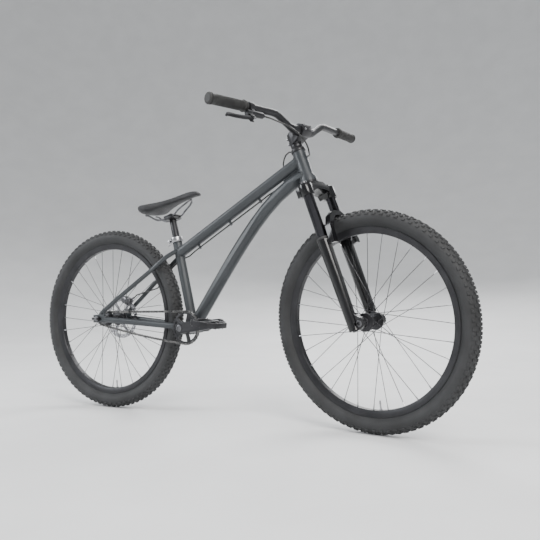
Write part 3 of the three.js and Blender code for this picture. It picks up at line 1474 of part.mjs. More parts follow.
// Outline of the blade from its pin, along the grip and away from it, in shares of its length
const bladeShares = [
  [-0.05, -0.03],
  [0, -0.052],
  [0.16, -0.05],
  [0.34, 0.0],
  [0.62, 0.022],
  [0.86, 0.0],
  [0.97, 0.03],
  [1, 0.08],
  [0.97, 0.115],
  [0.9, 0.075],
  [0.66, 0.085],
  [0.34, 0.075],
  [0.14, 0.04],
  [0, 0.052],
  [-0.05, 0.03],
];

function makeLeverBlade() {
  const group = new THREE.Group();
  group.applyMatrix4(leverPlane.clone().setPosition(fromLever(leverPivotAhead, leverPivotOut)));
  steering.add(group);
  const points = bladeShares.map(([out, ahead]) => [leverBladeLength * out, leverBladeLength * ahead]);
  const depth = leverBladeHalf * 2;
  const blade = new THREE.ExtrudeGeometry(outline(points), { depth, bevelEnabled: false });
  blade.translate(0, 0, -leverBladeHalf);
  const pinEnd = leverBladeHalf + runGap + leverPinRadius * 1.2;
  const pin = rod(at(0, 0, -pinEnd), at(0, 0, pinEnd), leverPinRadius, undefined, 8);
  piece(group, "brake_lever", solid(blade).add(pin), satinBlack);
}

// Brake hose: from the lever round the head tube, along the guides and down the left seatstay
const headCentre = onSteer(headTop);
const hosePlaces = (shares, origin, ahead = at(1, 0, 0), above = at(0, 0, 1)) =>
  shares.map(([forward, left, up]) => {
    const sideways = origin.clone().addScaledVector(upY, left * hoseReach);
    return sideways.addScaledVector(ahead, forward * hoseReach).addScaledVector(above, up * hoseReach);
  });
const hoseBarShares = [
  [0.28, -1, 0.307],
  [0.347, -0.6, 0.2],
  [0.32, -0.233, 0.067],
  [0.267, -0.04, -0.04],
];
const hoseLoopShares = [
  [0.127, 0.207, -0.053],
  [-0.067, 0.247, 0.02],
  [-0.227, 0.253, 0.08],
  [-0.399, 0.24, 0.0903],
];
// From the loop down to the first guide, ahead, left and above in the top tube's own directions
const hoseFallShares = [
  [-0.448, 0.22, 0.345],
  [-0.545, 0.207, 0.147],
  [-0.62, 0.187, -0.04],
  [-0.713, 0.12, -0.163],
  [-0.857, 0.0467, -0.189],
  [-1.071, 0.00667, -0.187],
];
const hoseTurnShares = [
  [0.307, 0.0533, -0.178],
  [0.0973, 0.147, -0.143],
  [-0.0587, 0.16, -0.0933],
];
const hoseCornerShares = [[-0.178, 0.24, -0.143]];
const hoseStayShares = [0.85, 0.78, 0.7, 0.62];
const hoseDropShares = [
  [1.23, 0.333, 0.76],
  [1, 0.313, 0.7],
  [0.733, 0.313, 0.633],
  [0.5, 0.347, 0.58],
];
const guideRunShares = [1.0454, 1.0151, 1, 0.636, 0.235, 0.2197, 0.1894];

// One length of a longer path, between two of the points that it was drawn through
class Length extends THREE.Curve {
  constructor(path, first, last, gap) {
    super();
    this.path = path;
    const steps = path.points.length - 1;
    const next = path.points[first].distanceTo(path.points[first + 1]);
    this.start = (first + gap / next) / steps;
    this.end = last / steps;
  }
  getPoint(t) {
    return this.path.getPoint(this.start + (this.end - this.start) * t);
  }
}

function makeHoses() {
  steering.updateMatrixWorld(true);
  const portOut = leverBodyLength / 2 + leverPortLength + seatGap;
  const exit = [portOut, portOut + leverPortLength].map((out) =>
    steering.localToWorld(fromLever(leverReach, -out)),
  );
  const barPlaces = [...exit, ...hosePlaces(hoseBarShares, headCentre)];
  const overTopTube = underTopTube.clone().negate();
  const loopPlaces = [
    ...hosePlaces(hoseLoopShares, headCentre),
    ...hosePlaces(hoseFallShares, topTubeEnd, topTubeAhead, overTopTube),
  ];
  const stay = smooth(seatStayPoints(1));
  const stayWay = seatStayTop.clone().sub(seatStayFoot).normalize();
  const under = at(stayWay.z, 0, -stayWay.x).multiplyScalar(hoseUnderStay);
  const portWay = inPlane(caliperPortAngle);
  const landing = [seatGap * 30, seatGap * 15, seatGap].map((gap) =>
    caliperPortEnd.clone().addScaledVector(portWay, gap),
  );
  const path = smooth([
    ...barPlaces,
    ...loopPlaces,
    ...guideRunShares.map(onGuideLine),
    ...hosePlaces(hoseTurnShares, topTubeStart, topTubeAhead, overTopTube),
    ...hosePlaces(hoseCornerShares, topTubeStart),
    ...hoseStayShares.map((share) => stay.getPointAt(share).add(under)),
    ...hosePlaces(hoseDropShares, rearAxle),
    ...landing,
  ]);
  const barEnd = barPlaces.length - 1;
  const loopEnd = barEnd + loopPlaces.length;
  const last = path.points.length - 1;
  const intoSteering = steering.matrixWorld.clone().invert();
  const barHose = swept(new Length(path, 0, barEnd, 0), hoseRadius, 8, 12);
  piece(steering, "brake_hose_bar", barHose.transform(intoSteering.elements), hoseBlack);
  const loopHose = swept(new Length(path, barEnd, loopEnd, seatGap), hoseRadius, 8, 20);
  piece(frame, "brake_hose_loop", loopHose, hoseBlack);
  const frameHose = swept(new Length(path, loopEnd, last, seatGap), hoseRadius, 8, 34);
  piece(frame, "brake_hose_frame", frameHose, hoseBlack);
}

// Seat: a post with a cradle, a bent rail and a crowned cushion, which all slide up together
const seat = new THREE.Group();
frame.add(seat);
const postTop = onSeat(seatTubeLength + postShown);
const railPlace = onSeat(seatTubeLength + postShown + postHeadRise);
const saddleAhead = at(Math.cos(rad(saddlePitch)), 0, Math.sin(rad(saddlePitch)));
const saddleUp = at(-Math.sin(rad(saddlePitch)), 0, Math.cos(rad(saddlePitch)));
const saddlePlane = standing(railPlace, saddleAhead, saddleUp);
const inSaddle = (ahead, up, left) => at(ahead, up, -left).applyMatrix4(saddlePlane);
const railSide = railSpacing / 2;

function makePost() {
  const foot = onSeat(seatTubeLength - postInsert);
  const tube = rod(foot, postTop, postRadius, undefined, 12);
  const headFoot = onSeat(seatTubeLength + postShown - cradleHeight);
  const head = rod(headFoot, railPlace, postRadius, cradleHeight, 12);
  const half = cradleLength / 2;
  const side = cradleWidth / 2;
  const grip = railRadius * 0.25;
  const lower = blockBetween(at(-half, -cradleHeight, -side), at(half, -grip, side), saddlePlane);
  const upper = blockBetween(at(-half, grip, -side), at(half, railRadius * 1.9, side), saddlePlane);
  const boltEnds = [inSaddle(0, -cradleHeight, 0), inSaddle(0, railRadius * 3.4, 0)];
  const bolt = rod(...boltEnds, cradleBolt * 1.5, cradleBolt, 6);
  const grooves = [1, -1].map((way) => {
    const ends = [-half, half].map((ahead) => inSaddle(ahead, 0, way * railSide));
    return drill(...ends, railRadius + seatGap, 6);
  });
  piece(seat, "seatpost", without(joined([tube, head, lower, upper, bolt]), grooves), satinBlack);
}

// Half of the rail from its rear end to the nose: share of the reach, share of the rise, share of the spacing
const railShares = [
  [-0.75, 0.473, 1.3],
  [-0.63, 0.39, 1.24],
  [-0.42, 0.1, 1.06],
  [-0.24, 0, 1],
  [-0.15, 0, 1],
  [0, 0, 1],
  [0.14, 0, 1],
  [0.19, 0, 1],
  [0.3, 0.107, 0.96],
  [0.557, 0.262, 0.7],
  [0.66, 0.34, 0.42],
];

function makeRails() {
  const half = railShares.map(([ahead, up, left]) => [saddleReach * ahead, saddleRise * up, railSide * left]);
  const left = half.map(([ahead, up, side]) => inSaddle(ahead, up, side));
  const right = half.map(([ahead, up, side]) => inSaddle(ahead, up, -side)).reverse();
  const nose = inSaddle(saddleReach * 0.7, saddleRise * 0.391, 0);
  piece(seat, "saddle_rails", swept(smooth([...left, nose, ...right]), railRadius, 6, 34), silver);
}

// Stations of the cushion in shares: place, top, underside and half width
const saddleShares = [
  [-0.985, 0.93, 0.72, 0.6],
  [-0.964, 1.0, 0.667, 0.746],
  [-0.786, 0.976, 0.524, 0.985],
  [-0.5, 0.881, 0.429, 0.985],
  [-0.214, 0.81, 0.452, 0.746],
  [0.143, 0.75, 0.476, 0.507],
  [0.5, 0.738, 0.452, 0.358],
  [0.786, 0.714, 0.429, 0.299],
  [0.964, 0.619, 0.37, 0.239],
  [1.021, 0.5, 0.37, 0.149],
];

function makeSaddle() {
  const path = smooth(saddleShares.map(([ahead, top, , ]) => at(ahead, top, 0)));
  const size = smooth(saddleShares.map(([ahead, , under, width]) => at(ahead, under, width)));
  const count = 16;
  const rings = Array.from({ length: count + 1 }, (_, i) => {
    const t = i / count;
    const [ahead, top] = path.getPoint(t).toArray();
    const [, under, width] = size.getPoint(t).toArray();
    const middle = (top + under) / 2;
    return circle(1, 16).map(([a, b]) => {
      const left = Math.sign(a) * Math.abs(a) ** 0.75 * width * saddleHalfWidth;
      const crown = b > 0 ? 1 - 0.12 * a * a : 1;
      const swell = Math.sign(b) * Math.abs(b) ** 0.6 * crown;
      const up = (middle + ((top - under) / 2) * swell) * saddleRise;
      return inSaddle(ahead * saddleReach, up, left);
    });
  });
  piece(seat, "saddle", lofted(rings), saddleCover);
}

makeFrameTubes();
makeRearTriangle();
makeRearAxle();
makeCups();
makeSeatClamp();
makeClampLever();
makeCaliper();
makeChain();
makeCog();
makeCrank();
makeRearWheel();
makeCrown();
makeLowers();
makeStem();
makeHandlebar();
makeGrip(1, "left");
makeGrip(-1, "right");
makeLeverBody();
makeLeverBlade();
makeHoses();
makePost();
makeRails();
makeSaddle();

// The middle of the bike stands over the origin
bike.updateMatrixWorld(true);
const extent = new THREE.Box3().setFromObject(bike, true);
bike.position.set(-(extent.min.x + extent.max.x) / 2, 0, -extent.min.z);
bike.updateMatrixWorld(true);

export default bike;
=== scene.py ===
import json
import math
import bmesh
import bpy
from mathutils import Matrix, Vector

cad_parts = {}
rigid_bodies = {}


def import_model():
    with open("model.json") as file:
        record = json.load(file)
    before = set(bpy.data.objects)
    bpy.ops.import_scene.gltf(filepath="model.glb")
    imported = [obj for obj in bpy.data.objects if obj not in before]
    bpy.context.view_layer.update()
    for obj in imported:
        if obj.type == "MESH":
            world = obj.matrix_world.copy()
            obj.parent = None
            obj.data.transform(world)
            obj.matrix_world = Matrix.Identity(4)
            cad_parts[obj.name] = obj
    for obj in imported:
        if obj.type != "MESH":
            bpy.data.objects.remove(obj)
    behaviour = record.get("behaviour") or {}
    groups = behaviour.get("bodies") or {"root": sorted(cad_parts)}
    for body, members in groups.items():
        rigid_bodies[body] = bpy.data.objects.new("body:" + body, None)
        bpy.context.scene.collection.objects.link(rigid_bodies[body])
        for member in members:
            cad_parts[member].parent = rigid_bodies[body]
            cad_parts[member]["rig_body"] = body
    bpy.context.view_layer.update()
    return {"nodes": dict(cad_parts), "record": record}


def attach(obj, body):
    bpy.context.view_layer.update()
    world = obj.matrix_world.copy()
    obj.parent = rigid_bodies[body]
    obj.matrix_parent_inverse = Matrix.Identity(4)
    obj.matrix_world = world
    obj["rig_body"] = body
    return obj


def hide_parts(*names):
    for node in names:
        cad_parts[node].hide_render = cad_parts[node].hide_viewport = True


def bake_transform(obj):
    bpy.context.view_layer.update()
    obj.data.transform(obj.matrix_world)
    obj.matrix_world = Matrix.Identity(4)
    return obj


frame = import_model()
cad = frame["nodes"]
mm = 0.001
print("frame loaded:", len(cad), "nodes")


def linked(name, data):
    item = bpy.data.objects.new(name, data)
    bpy.context.collection.objects.link(item)
    return item


# Camera and light, placed to match the photo

cameraPlan = {  # turn and lift in degrees, roll in radians, lens and sensor in millimetres
    "place": (1.215, -1.7883, 0.4169), "turn": 30.1, "lift": -2.406, "roll": -0.009, "lens": 41.71, "sensor": 36,
}


def makeCamera(plan):
    turn, lift, roll = math.radians(plan["turn"]), math.radians(plan["lift"]), plan["roll"]
    back = Vector((math.sin(turn) * math.cos(lift), -math.cos(turn) * math.cos(lift), math.sin(lift)))
    right = (-back).cross(Vector((0, 0, 1))).normalized()
    up = right.cross(-back)
    side = right * math.cos(roll) + up * math.sin(roll)
    top = up * math.cos(roll) - right * math.sin(roll)
    data = bpy.data.cameras.new("photoCamera")
    data.lens = plan["lens"]
    data.sensor_width = plan["sensor"]
    camera = linked("photoCamera", data)
    camera.matrix_world = Matrix.Translation(plan["place"]) @ Matrix((side, top, back)).transposed().to_4x4()
    bpy.context.scene.camera = camera


lightPlan = {
    "key": {"place": (3.2, -2.6, 3.4), "size": 2.2, "power": 230, "warmth": (1.0, 0.98, 0.95)},
    "side": {"place": (-3.4, -2.4, 2.4), "size": 1.8, "power": 130, "warmth": (0.94, 0.97, 1.0)},
    "back": {"place": (-0.6, 3.6, 3.0), "size": 2.6, "power": 170, "warmth": (1.0, 1.0, 1.0)},
    "top": {"place": (0.2, -0.3, 4.2), "size": 3.2, "power": 130, "warmth": (1.0, 1.0, 1.0)},
}
lightTarget = Vector((0, 0, 0.45))
skyPlan = {"tint": (0.86, 0.88, 0.9, 1), "strength": 0.55}


def makeLights(plan):
    for name, light in plan.items():
        data = bpy.data.lights.new(name + "Light", "AREA")
        data.shape = "SQUARE"
        data.size = light["size"]
        data.energy = light["power"]
        data.color = light["warmth"]
        lamp = linked(name + "Light", data)
        lamp.location = light["place"]
        aim = lightTarget - Vector(light["place"])
        lamp.rotation_euler = aim.to_track_quat("-Z", "Y").to_euler()


def makeSky(plan):
    world = bpy.data.worlds.new("studioSky")
    world.use_nodes = True
    background = world.node_tree.nodes["Background"]
    background.inputs["Color"].default_value = plan["tint"]
    background.inputs["Strength"].default_value = plan["strength"]
    bpy.context.scene.world = world


# Materials

def startFinish(name):
    material = bpy.data.materials.new(name)
    material.use_nodes = True
    tree = material.node_tree
    return material, tree, tree.nodes["Principled BSDF"]


def addNode(tree, kind, **settings):
    node = tree.nodes.new(kind)
    for key, value in settings.items():
        setattr(node, key, value)
    return node


# Place in metres from the middle of a piece, turned with it
def localPlace(tree, space=None, stretch=(1, 1, 1)):
    place = addNode(tree, "ShaderNodeTexCoord").outputs["Object"]
    if space:
        centre = addNode(tree, "ShaderNodeMapping", vector_type="TEXTURE")
        centre.inputs["Location"].default_value = space.to_translation()
        centre.inputs["Rotation"].default_value = space.to_euler()
        tree.links.new(place, centre.inputs["Vector"])
        place = centre.outputs["Vector"]
    if stretch != (1, 1, 1):
        longer = addNode(tree, "ShaderNodeMapping")
        longer.inputs["Scale"].default_value = stretch
        tree.links.new(place, longer.inputs["Vector"])
        place = longer.outputs["Vector"]
    return place


def noiseAt(tree, place, scale, detail, rough=0.5):
    noise = addNode(tree, "ShaderNodeTexNoise")
    noise.inputs["Scale"].default_value = scale
    noise.inputs["Detail"].default_value = detail
    noise.inputs["Roughness"].default_value = rough
    tree.links.new(place, noise.inputs["Vector"])
    return noise.outputs["Fac"]


toneSpan = (0.35, 0.68)  # the noise at which a patch is all dark, and all light


def toned(tree, shader, factor, plan):
    ramp = addNode(tree, "ShaderNodeValToRGB")
    for element, position, tone in zip(ramp.color_ramp.elements, toneSpan, (plan["low"], plan["high"])):
        element.position = position
        element.color = (*tone, 1)
    tree.links.new(factor, ramp.inputs["Fac"])
    tree.links.new(ramp.outputs["Color"], shader.inputs["Base Color"])
    return ramp


def roughened(tree, shader, factor, plan):
    span = addNode(tree, "ShaderNodeMapRange")
    span.inputs["To Min"].default_value, span.inputs["To Max"].default_value = plan["rough"]
    tree.links.new(factor, span.inputs["Value"])
    tree.links.new(span.outputs["Result"], shader.inputs["Roughness"])


def raised(tree, shader, height, strength, depth, under=None):
    bump = addNode(tree, "ShaderNodeBump")
    bump.inputs["Strength"].default_value = strength
    bump.inputs["Distance"].default_value = depth
    tree.links.new(height, bump.inputs["Height"])
    if under:
        tree.links.new(under.outputs["Normal"], bump.inputs["Normal"])
    tree.links.new(bump.outputs["Normal"], shader.inputs["Normal"])
    return bump


# Distance from the axle, which lies along Y, in metres
def axleDistance(tree, place):
    flat = addNode(tree, "ShaderNodeVectorMath", operation="MULTIPLY")
    flat.inputs[1].default_value = (1, 0, 1)
    tree.links.new(place, flat.inputs[0])
    radius = addNode(tree, "ShaderNodeVectorMath", operation="LENGTH")
    tree.links.new(flat.outputs["Vector"], radius.inputs[0])
    return radius.outputs["Value"]


# A finish of two close tones in soft patches, a grain that sets the gloss, and a fine relief
def grainedFinish(name, plan):
    material, tree, shader = startFinish(name)
    place = localPlace(tree, stretch=plan.get("stretch", (1, 1, 1)))
    toned(tree, shader, noiseAt(tree, place, plan["patch"], 5), plan)
    grain = noiseAt(tree, place, plan["grain"], 5, 0.6)
    roughened(tree, shader, grain, plan)
    raised(tree, shader, grain, plan["relief"], plan["depth"])
    shader.inputs["Metallic"].default_value = plan.get("metal", 0)
    shader.inputs["Coat Weight"].default_value = plan.get("coat", 0)
    shader.inputs["Coat Roughness"].default_value = plan.get("coatRough", 0.1)
    shader.inputs["Specular IOR Level"].default_value = plan.get("shine", 0.5)
    return material


finishPlan = {
    "matteAnthracitePaint": {
        "low": (0.024, 0.0275, 0.031), "high": (0.034, 0.0385, 0.043), "patch": 7, "grain": 1400,
        "rough": (0.38, 0.52), "relief": 0.08, "depth": 0.0002, "metal": 0.2, "coat": 0.1, "coatRough": 0.3,
    },
    "glossForkBlack": {
        "low": (0.004, 0.004, 0.0048), "high": (0.007, 0.007, 0.008), "patch": 9, "grain": 320,
        "rough": (0.16, 0.24), "relief": 0.04, "depth": 0.0001, "coat": 0.15, "coatRough": 0.05, "shine": 0.36,
    },
    "anodisedStanchion": {
        "low": (0.02, 0.02, 0.023), "high": (0.034, 0.034, 0.038), "patch": 40, "grain": 900,
        "stretch": (1, 1, 0.1), "rough": (0.14, 0.22), "relief": 0.04, "depth": 0.0001, "metal": 0.85,
    },
    "satinAnodisedBlack": {
        "low": (0.016, 0.016, 0.018), "high": (0.028, 0.028, 0.031), "patch": 18, "grain": 1800,
        "rough": (0.32, 0.46), "relief": 0.12, "depth": 0.0001, "metal": 0.5,
    },
    "platedDarkSteel": {
        "low": (0.11, 0.11, 0.115), "high": (0.19, 0.19, 0.2), "patch": 60, "grain": 1200,
        "rough": (0.26, 0.44), "relief": 0.15, "depth": 0.0001, "metal": 1.0,
    },
    "oiledChainSteel": {
        "low": (0.05, 0.05, 0.051), "high": (0.2, 0.197, 0.192), "patch": 90, "grain": 700,
        "rough": (0.2, 0.42), "relief": 0.1, "depth": 0.0001, "metal": 1.0,
    },
    "satinSilver": {
        "low": (0.34, 0.34, 0.352), "high": (0.45, 0.45, 0.465), "patch": 30, "grain": 1500,
        "rough": (0.22, 0.36), "relief": 0.08, "depth": 0.0001, "metal": 1.0,
    },
    "blackSpokeWire": {
        "low": (0.03, 0.03, 0.032), "high": (0.06, 0.06, 0.064), "patch": 60, "grain": 1500,
        "rough": (0.24, 0.38), "relief": 0.05, "depth": 0.0001, "metal": 0.75,
    },
    "hoseCover": {
        "low": (0.012, 0.012, 0.012), "high": (0.022, 0.022, 0.022), "patch": 35, "grain": 900,
        "rough": (0.38, 0.55), "relief": 0.1, "depth": 0.0002,
    },
    "wiperRubber": {
        "low": (0.012, 0.012, 0.012), "high": (0.024, 0.024, 0.024), "patch": 50, "grain": 1500,
        "rough": (0.55, 0.7), "relief": 0.15, "depth": 0.0002,
    },
}


# Tyre rubber: fine ribs round the sidewall, dusty patches, and paler worn tops on the knobs
tyrePlan = {  # places in metres, ribs in radians of their wave to a metre
    "low": (0.0125, 0.0128, 0.0135), "high": (0.024, 0.0245, 0.026), "worn": (0.042, 0.042, 0.044),
    "wornFrom": 0.3352, "wornTo": 0.3378, "dust": 14, "ribs": 2500, "ribRelief": 0.25, "ribDepth": 0.00035,
    "grain": 650, "grainRelief": 0.2, "grainDepth": 0.0003, "rough": (0.55, 0.78),
}


def tyreRubber(name, plan, space):
    material, tree, shader = startFinish(name)
    place = localPlace(tree, space)
    radius = axleDistance(tree, place)
    ramp = toned(tree, shader, noiseAt(tree, place, plan["dust"], 6), plan)
    wear = addNode(tree, "ShaderNodeMapRange")
    wear.inputs["From Min"].default_value = plan["wornFrom"]
    wear.inputs["From Max"].default_value = plan["wornTo"]
    tree.links.new(radius, wear.inputs["Value"])
    mix = addNode(tree, "ShaderNodeMix", data_type="RGBA")
    mix.inputs["B"].default_value = (*plan["worn"], 1)
    tree.links.new(wear.outputs["Result"], mix.inputs["Factor"])
    tree.links.new(ramp.outputs["Color"], mix.inputs["A"])
    tree.links.new(mix.outputs["Result"], shader.inputs["Base Color"])
    grain = noiseAt(tree, place, plan["grain"], 5)
    roughened(tree, shader, grain, plan)
    ribs = addNode(tree, "ShaderNodeMath", operation="MULTIPLY")
    ribs.inputs[1].default_value = plan["ribs"]
    tree.links.new(radius, ribs.inputs[0])
    wave = addNode(tree, "ShaderNodeMath", operation="SINE")
    tree.links.new(ribs.outputs["Value"], wave.inputs[0])
    ribbed = raised(tree, shader, wave.outputs["Value"], plan["ribRelief"], plan["ribDepth"])
    raised(tree, shader, grain, plan["grainRelief"], plan["grainDepth"], ribbed)
    return material


# Brushed disc: fine rings round the axle
discPlan = {
    "low": (0.22, 0.22, 0.23), "high": (0.4, 0.4, 0.415), "rings": 2600, "rough": (0.18, 0.34),
    "relief": 0.12, "depth": 0.0001, "brushing": 0.4,
}


def brushedRotor(name, plan, space):
    material, tree, shader = startFinish(name)
    rings = addNode(tree, "ShaderNodeTexNoise", noise_dimensions="1D")
    rings.inputs["Scale"].default_value = plan["rings"]
    rings.inputs["Detail"].default_value = 3
    tree.links.new(axleDistance(tree, localPlace(tree, space)), rings.inputs["W"])
    toned(tree, shader, rings.outputs["Fac"], plan)
    roughened(tree, shader, rings.outputs["Fac"], plan)
    raised(tree, shader, rings.outputs["Fac"], plan["relief"], plan["depth"])
    shader.inputs["Metallic"].default_value = 1
    shader.inputs["Anisotropic"].default_value = plan["brushing"]
    return material


# Grained cover: small cells like leather, with soft patches
coverPlan = {
    "low": (0.013, 0.0133, 0.0148), "high": (0.024, 0.0245, 0.027), "patch": 22, "rough": (0.48, 0.66),
    "cells": 620, "cellRelief": 0.35, "cellDepth": 0.0008, "grain": 900, "grainRelief": 0.12, "grainDepth": 0.0003,
    "sheen": 0.04, "shine": 0.36,
}


def saddleCover(name, plan):
    material, tree, shader = startFinish(name)
    place = localPlace(tree)
    toned(tree, shader, noiseAt(tree, place, plan["patch"], 5), plan)
    cells = addNode(tree, "ShaderNodeTexVoronoi", feature="DISTANCE_TO_EDGE")
    cells.inputs["Scale"].default_value = plan["cells"]
    tree.links.new(place, cells.inputs["Vector"])
    grain = noiseAt(tree, place, plan["grain"], 4)
    roughened(tree, shader, grain, plan)
    pebbled = raised(tree, shader, cells.outputs["Distance"], plan["cellRelief"], plan["cellDepth"])
    raised(tree, shader, grain, plan["grainRelief"], plan["grainDepth"], pebbled)
    shader.inputs["Sheen Weight"].default_value = plan["sheen"]
    shader.inputs["Specular IOR Level"].default_value = plan["shine"]
    return material


finishes = {name: grainedFinish(name, plan) for name, plan in finishPlan.items()}
slotFinish = {  # for the pieces that name no other finish
    "frame_paint": "matteAnthracitePaint", "fork_gloss": "glossForkBlack", "stanchion_black": "anodisedStanchion",
    "satin_black": "satinAnodisedBlack", "dark_steel": "platedDarkSteel", "silver": "satinSilver",
    "grip_rubber": "wiperRubber", "hose_black": "hoseCover", "chain_steel": "oiledChainSteel",
}
print("finishes ready:", len(finishes))


# Spaces of the bike, in metres, and the measures of its frame, in millimetres from the ground under the rear axle

def spaceOf(place, ahead, left, up):
    space = Matrix((ahead, left, up)).transposed().to_4x4()
    space.translation = place
    return space


def inPlane(degrees):
    return Vector((math.cos(math.radians(degrees)), 0, math.sin(math.radians(degrees))))


frameSpace = Matrix.Translation((-0.526369, 0, 0.000237))
rearWheelSpace = Matrix.Translation((-0.526369, 0, 0.338237))
steeringSpace = spaceOf(
    (0.490996, 0, 0.324687), (0.93126, -0.14263, 0.33527), (0.1342, 0.98978, 0.04831), (-0.33874, 0, 0.94088))
frontWheelSpace = spaceOf(
    (0.528246, -0.005705, 0.338098), (0.99095, -0.1342, -0.00326), (0.1342, 0.98978, 0.04831),
    (-0.00326, -0.04831, 0.99883))
framePlan = {"axleHeight": 338.0, "stay": 392.25, "drop": 28.0, "seatAngle": 103.5}
bracketPlace = Vector((
    math.sqrt(framePlan["stay"] ** 2 - framePlan["drop"] ** 2), 0, framePlan["axleHeight"] - framePlan["drop"]))
seatUp = inPlane(framePlan["seatAngle"])


# Small modelling helpers

def deselect():
    if bpy.context.object and bpy.context.object.mode != "OBJECT":
        bpy.ops.object.mode_set(mode="OBJECT")
    bpy.ops.object.select_all(action="DESELECT")


def choose(*objects):
    deselect()
    for item in objects:
        item.select_set(True)
    bpy.context.view_layer.objects.active = objects[0]


def settle(item):
    choose(item)
    bpy.ops.object.transform_apply(location=True, rotation=True, scale=True)
    return item


mergeDistance = 0.00001


def editAll(item):
    choose(item)
    bpy.ops.object.mode_set(mode="EDIT")
    bpy.ops.mesh.select_all(action="SELECT")


def pickFaces(item, wanted):
    choose(item)
    bpy.ops.object.mode_set(mode="EDIT")
    bpy.ops.mesh.select_mode(type="FACE")
    bpy.ops.mesh.select_all(action="DESELECT")
    work = bmesh.from_edit_mesh(item.data)
    for face in work.faces:
        if wanted(face.normal, face.calc_center_median()):
            face.select_set(True)
    bmesh.update_edit_mesh(item.data)


def applied(item, kind, **settings):
    choose(item)
    modifier = item.modifiers.new(kind.lower(), kind)
    for key, value in settings.items():
        setattr(modifier, key, value)
    bpy.ops.object.modifier_apply(modifier=modifier.name)


def twinOf(item, matrix):
    twin = item.copy()
    twin.data = item.data.copy()
    bpy.context.collection.objects.link(twin)
    twin.data.transform(matrix)
    return twin


# Copies the item to each place, and removes it
def spread(item, matrices):
    twins = [twinOf(item, matrix) for matrix in matrices]
    bpy.data.objects.remove(item)
    return joined(twins)


def joined(parts):
    choose(*parts)
    if len(parts) > 1:
        bpy.ops.object.join()
    return bpy.context.object


def tidied(item):
    editAll(item)
    bpy.ops.mesh.remove_doubles(threshold=mergeDistance)
    bpy.ops.mesh.normals_make_consistent(inside=False)
    bpy.ops.object.mode_set(mode="OBJECT")
    return item


# Names the piece, smooths it, gives it a body and the finish of its slot or another, and hides the solids that it
# stands for
def finished(item, name, body, slot, replaced=(), finish=None, angle=38):
    choose(item)
    item.name = name
    item.data.name = name
    bpy.ops.object.shade_smooth_by_angle(angle=math.radians(angle))
    item.data.materials.clear()
    item.data.materials.append(finish or finishes[slotFinish[slot]])
    if body:
        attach(item, body)
    if replaced:
        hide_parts(*replaced)
    deselect()
    return item


# A ring spun round Y from (radius, side) points in millimetres
def spun(profile, steps):
    deselect()
    bpy.ops.mesh.primitive_circle_add(vertices=len(profile), radius=0.01)
    ring = bpy.context.object
    for point, (radius, side) in zip(ring.data.vertices, profile):
        point.co = (radius * mm, side * mm, 0)
    editAll(ring)
    bpy.ops.mesh.spin(steps=steps, angle=2 * math.pi, center=(0, 0, 0), axis=(0, 1, 0))
    bpy.ops.object.mode_set(mode="OBJECT")
    return tidied(ring)


def roundY(count, start=0.0):
    return [Matrix.Rotation(start + 2 * math.pi * i / count, 4, "Y") for i in range(count)]


# A round rod from one place to another, in millimetres, narrowed to endRadius where that is given
def rodBetween(start, end, radius, sides, endRadius=None):
    start, end = Vector(start) * mm, Vector(end) * mm
    way = end - start
    deselect()
    bpy.ops.mesh.primitive_cone_add(
        vertices=sides, radius1=radius * mm, radius2=(endRadius or radius) * mm, depth=way.length,
        location=(start + end) / 2, rotation=way.to_track_quat("Z", "Y").to_euler())
    return settle(bpy.context.object)


headShares = {"edge": 0.14, "crown": 0.06, "ring": 0.3, "socket": 0.55}


# A bolt head on the origin that faces up Z, with a round socket
def boltHead(radius, height):
    head = rodBetween((0, 0, 0), (0, 0, height), radius, 18)
    pickFaces(head, lambda normal, place: normal.z > 0.9)
    bpy.ops.mesh.inset(thickness=radius * headShares["edge"] * mm, depth=radius * headShares["crown"] * mm)
    bpy.ops.mesh.inset(thickness=radius * headShares["ring"] * mm, depth=0)
    bpy.ops.mesh.extrude_region_move(
        TRANSFORM_OT_translate={"value": (0, 0, -height * headShares["socket"] * mm)})
    bpy.ops.object.mode_set(mode="OBJECT")
    return head


# A bolt head on each place of a space, facing its way there, all as one piece
def fitBolts(name, body, slot, size, places, space):
    head = boltHead(*size)
    matrices = []
    for place, way in places:
        turn = Vector(way).to_track_quat("Z", "Y").to_matrix().to_4x4()
        matrices.append(space @ Matrix.Translation(Vector(place) * mm) @ turn)
    finished(spread(head, matrices), name, body, slot)


# A turn that stands a piece made round Y up along Z, at a place
def standAt(place):
    return Matrix.Translation(Vector(place) * mm) @ Matrix.Rotation(math.pi / 2, 4, "X")


makeCamera(cameraPlan)
makeLights(lightPlan)
makeSky(skyPlan)
print("camera and lights placed")


# The solids of the CAD, merged, rounded at their edges and smoothed

edgePlan = {
    "stem": 0.8, "stem_faceplate": 0.9, "top_cap": 0.4, "headset_spacer": 0.4, "fork_crown": 1.2,
    "crank_arm_left": 1.6, "crank_arm_right": 1.6, "pedal_left": 0.9, "pedal_right": 0.9,
    "dropout_left": 0.7, "dropout_right": 0.7, "chain_tug_left": 0.4, "chain_tug_right": 0.4,
    "rear_caliper": 0.8, "seat_clamp": 0.6, "seat_clamp_lever": 0.4, "lever_body": 0.5, "brake_lever": 0.9,
    "chainring": 0.25, "rear_cog": 0.2, "seatpost": 0.4, "headset_cup_lower": 0.5, "headset_cup_upper": 0.5,
    "bb_cup_left": 0.4, "bb_cup_right": 0.4, "rear_axle": 0.4, "front_axle": 0.4, "wiper_left": 0.4,
    "wiper_right": 0.4,
}
sharpAngle, flatAngle = 44, 0.6  # degrees: an edge over the first is rounded, one under the second is dissolved
modelledAnew = {
    "front_tyre", "rear_tyre", "front_rim", "rear_rim", "front_hub", "rear_hub", "rear_rotor", "chain", "saddle",
    "grip_left", "grip_right",
}


def wordJoined(name):
    first, *rest = name.split("_")
    return first + "".join(word.capitalize() for word in rest)


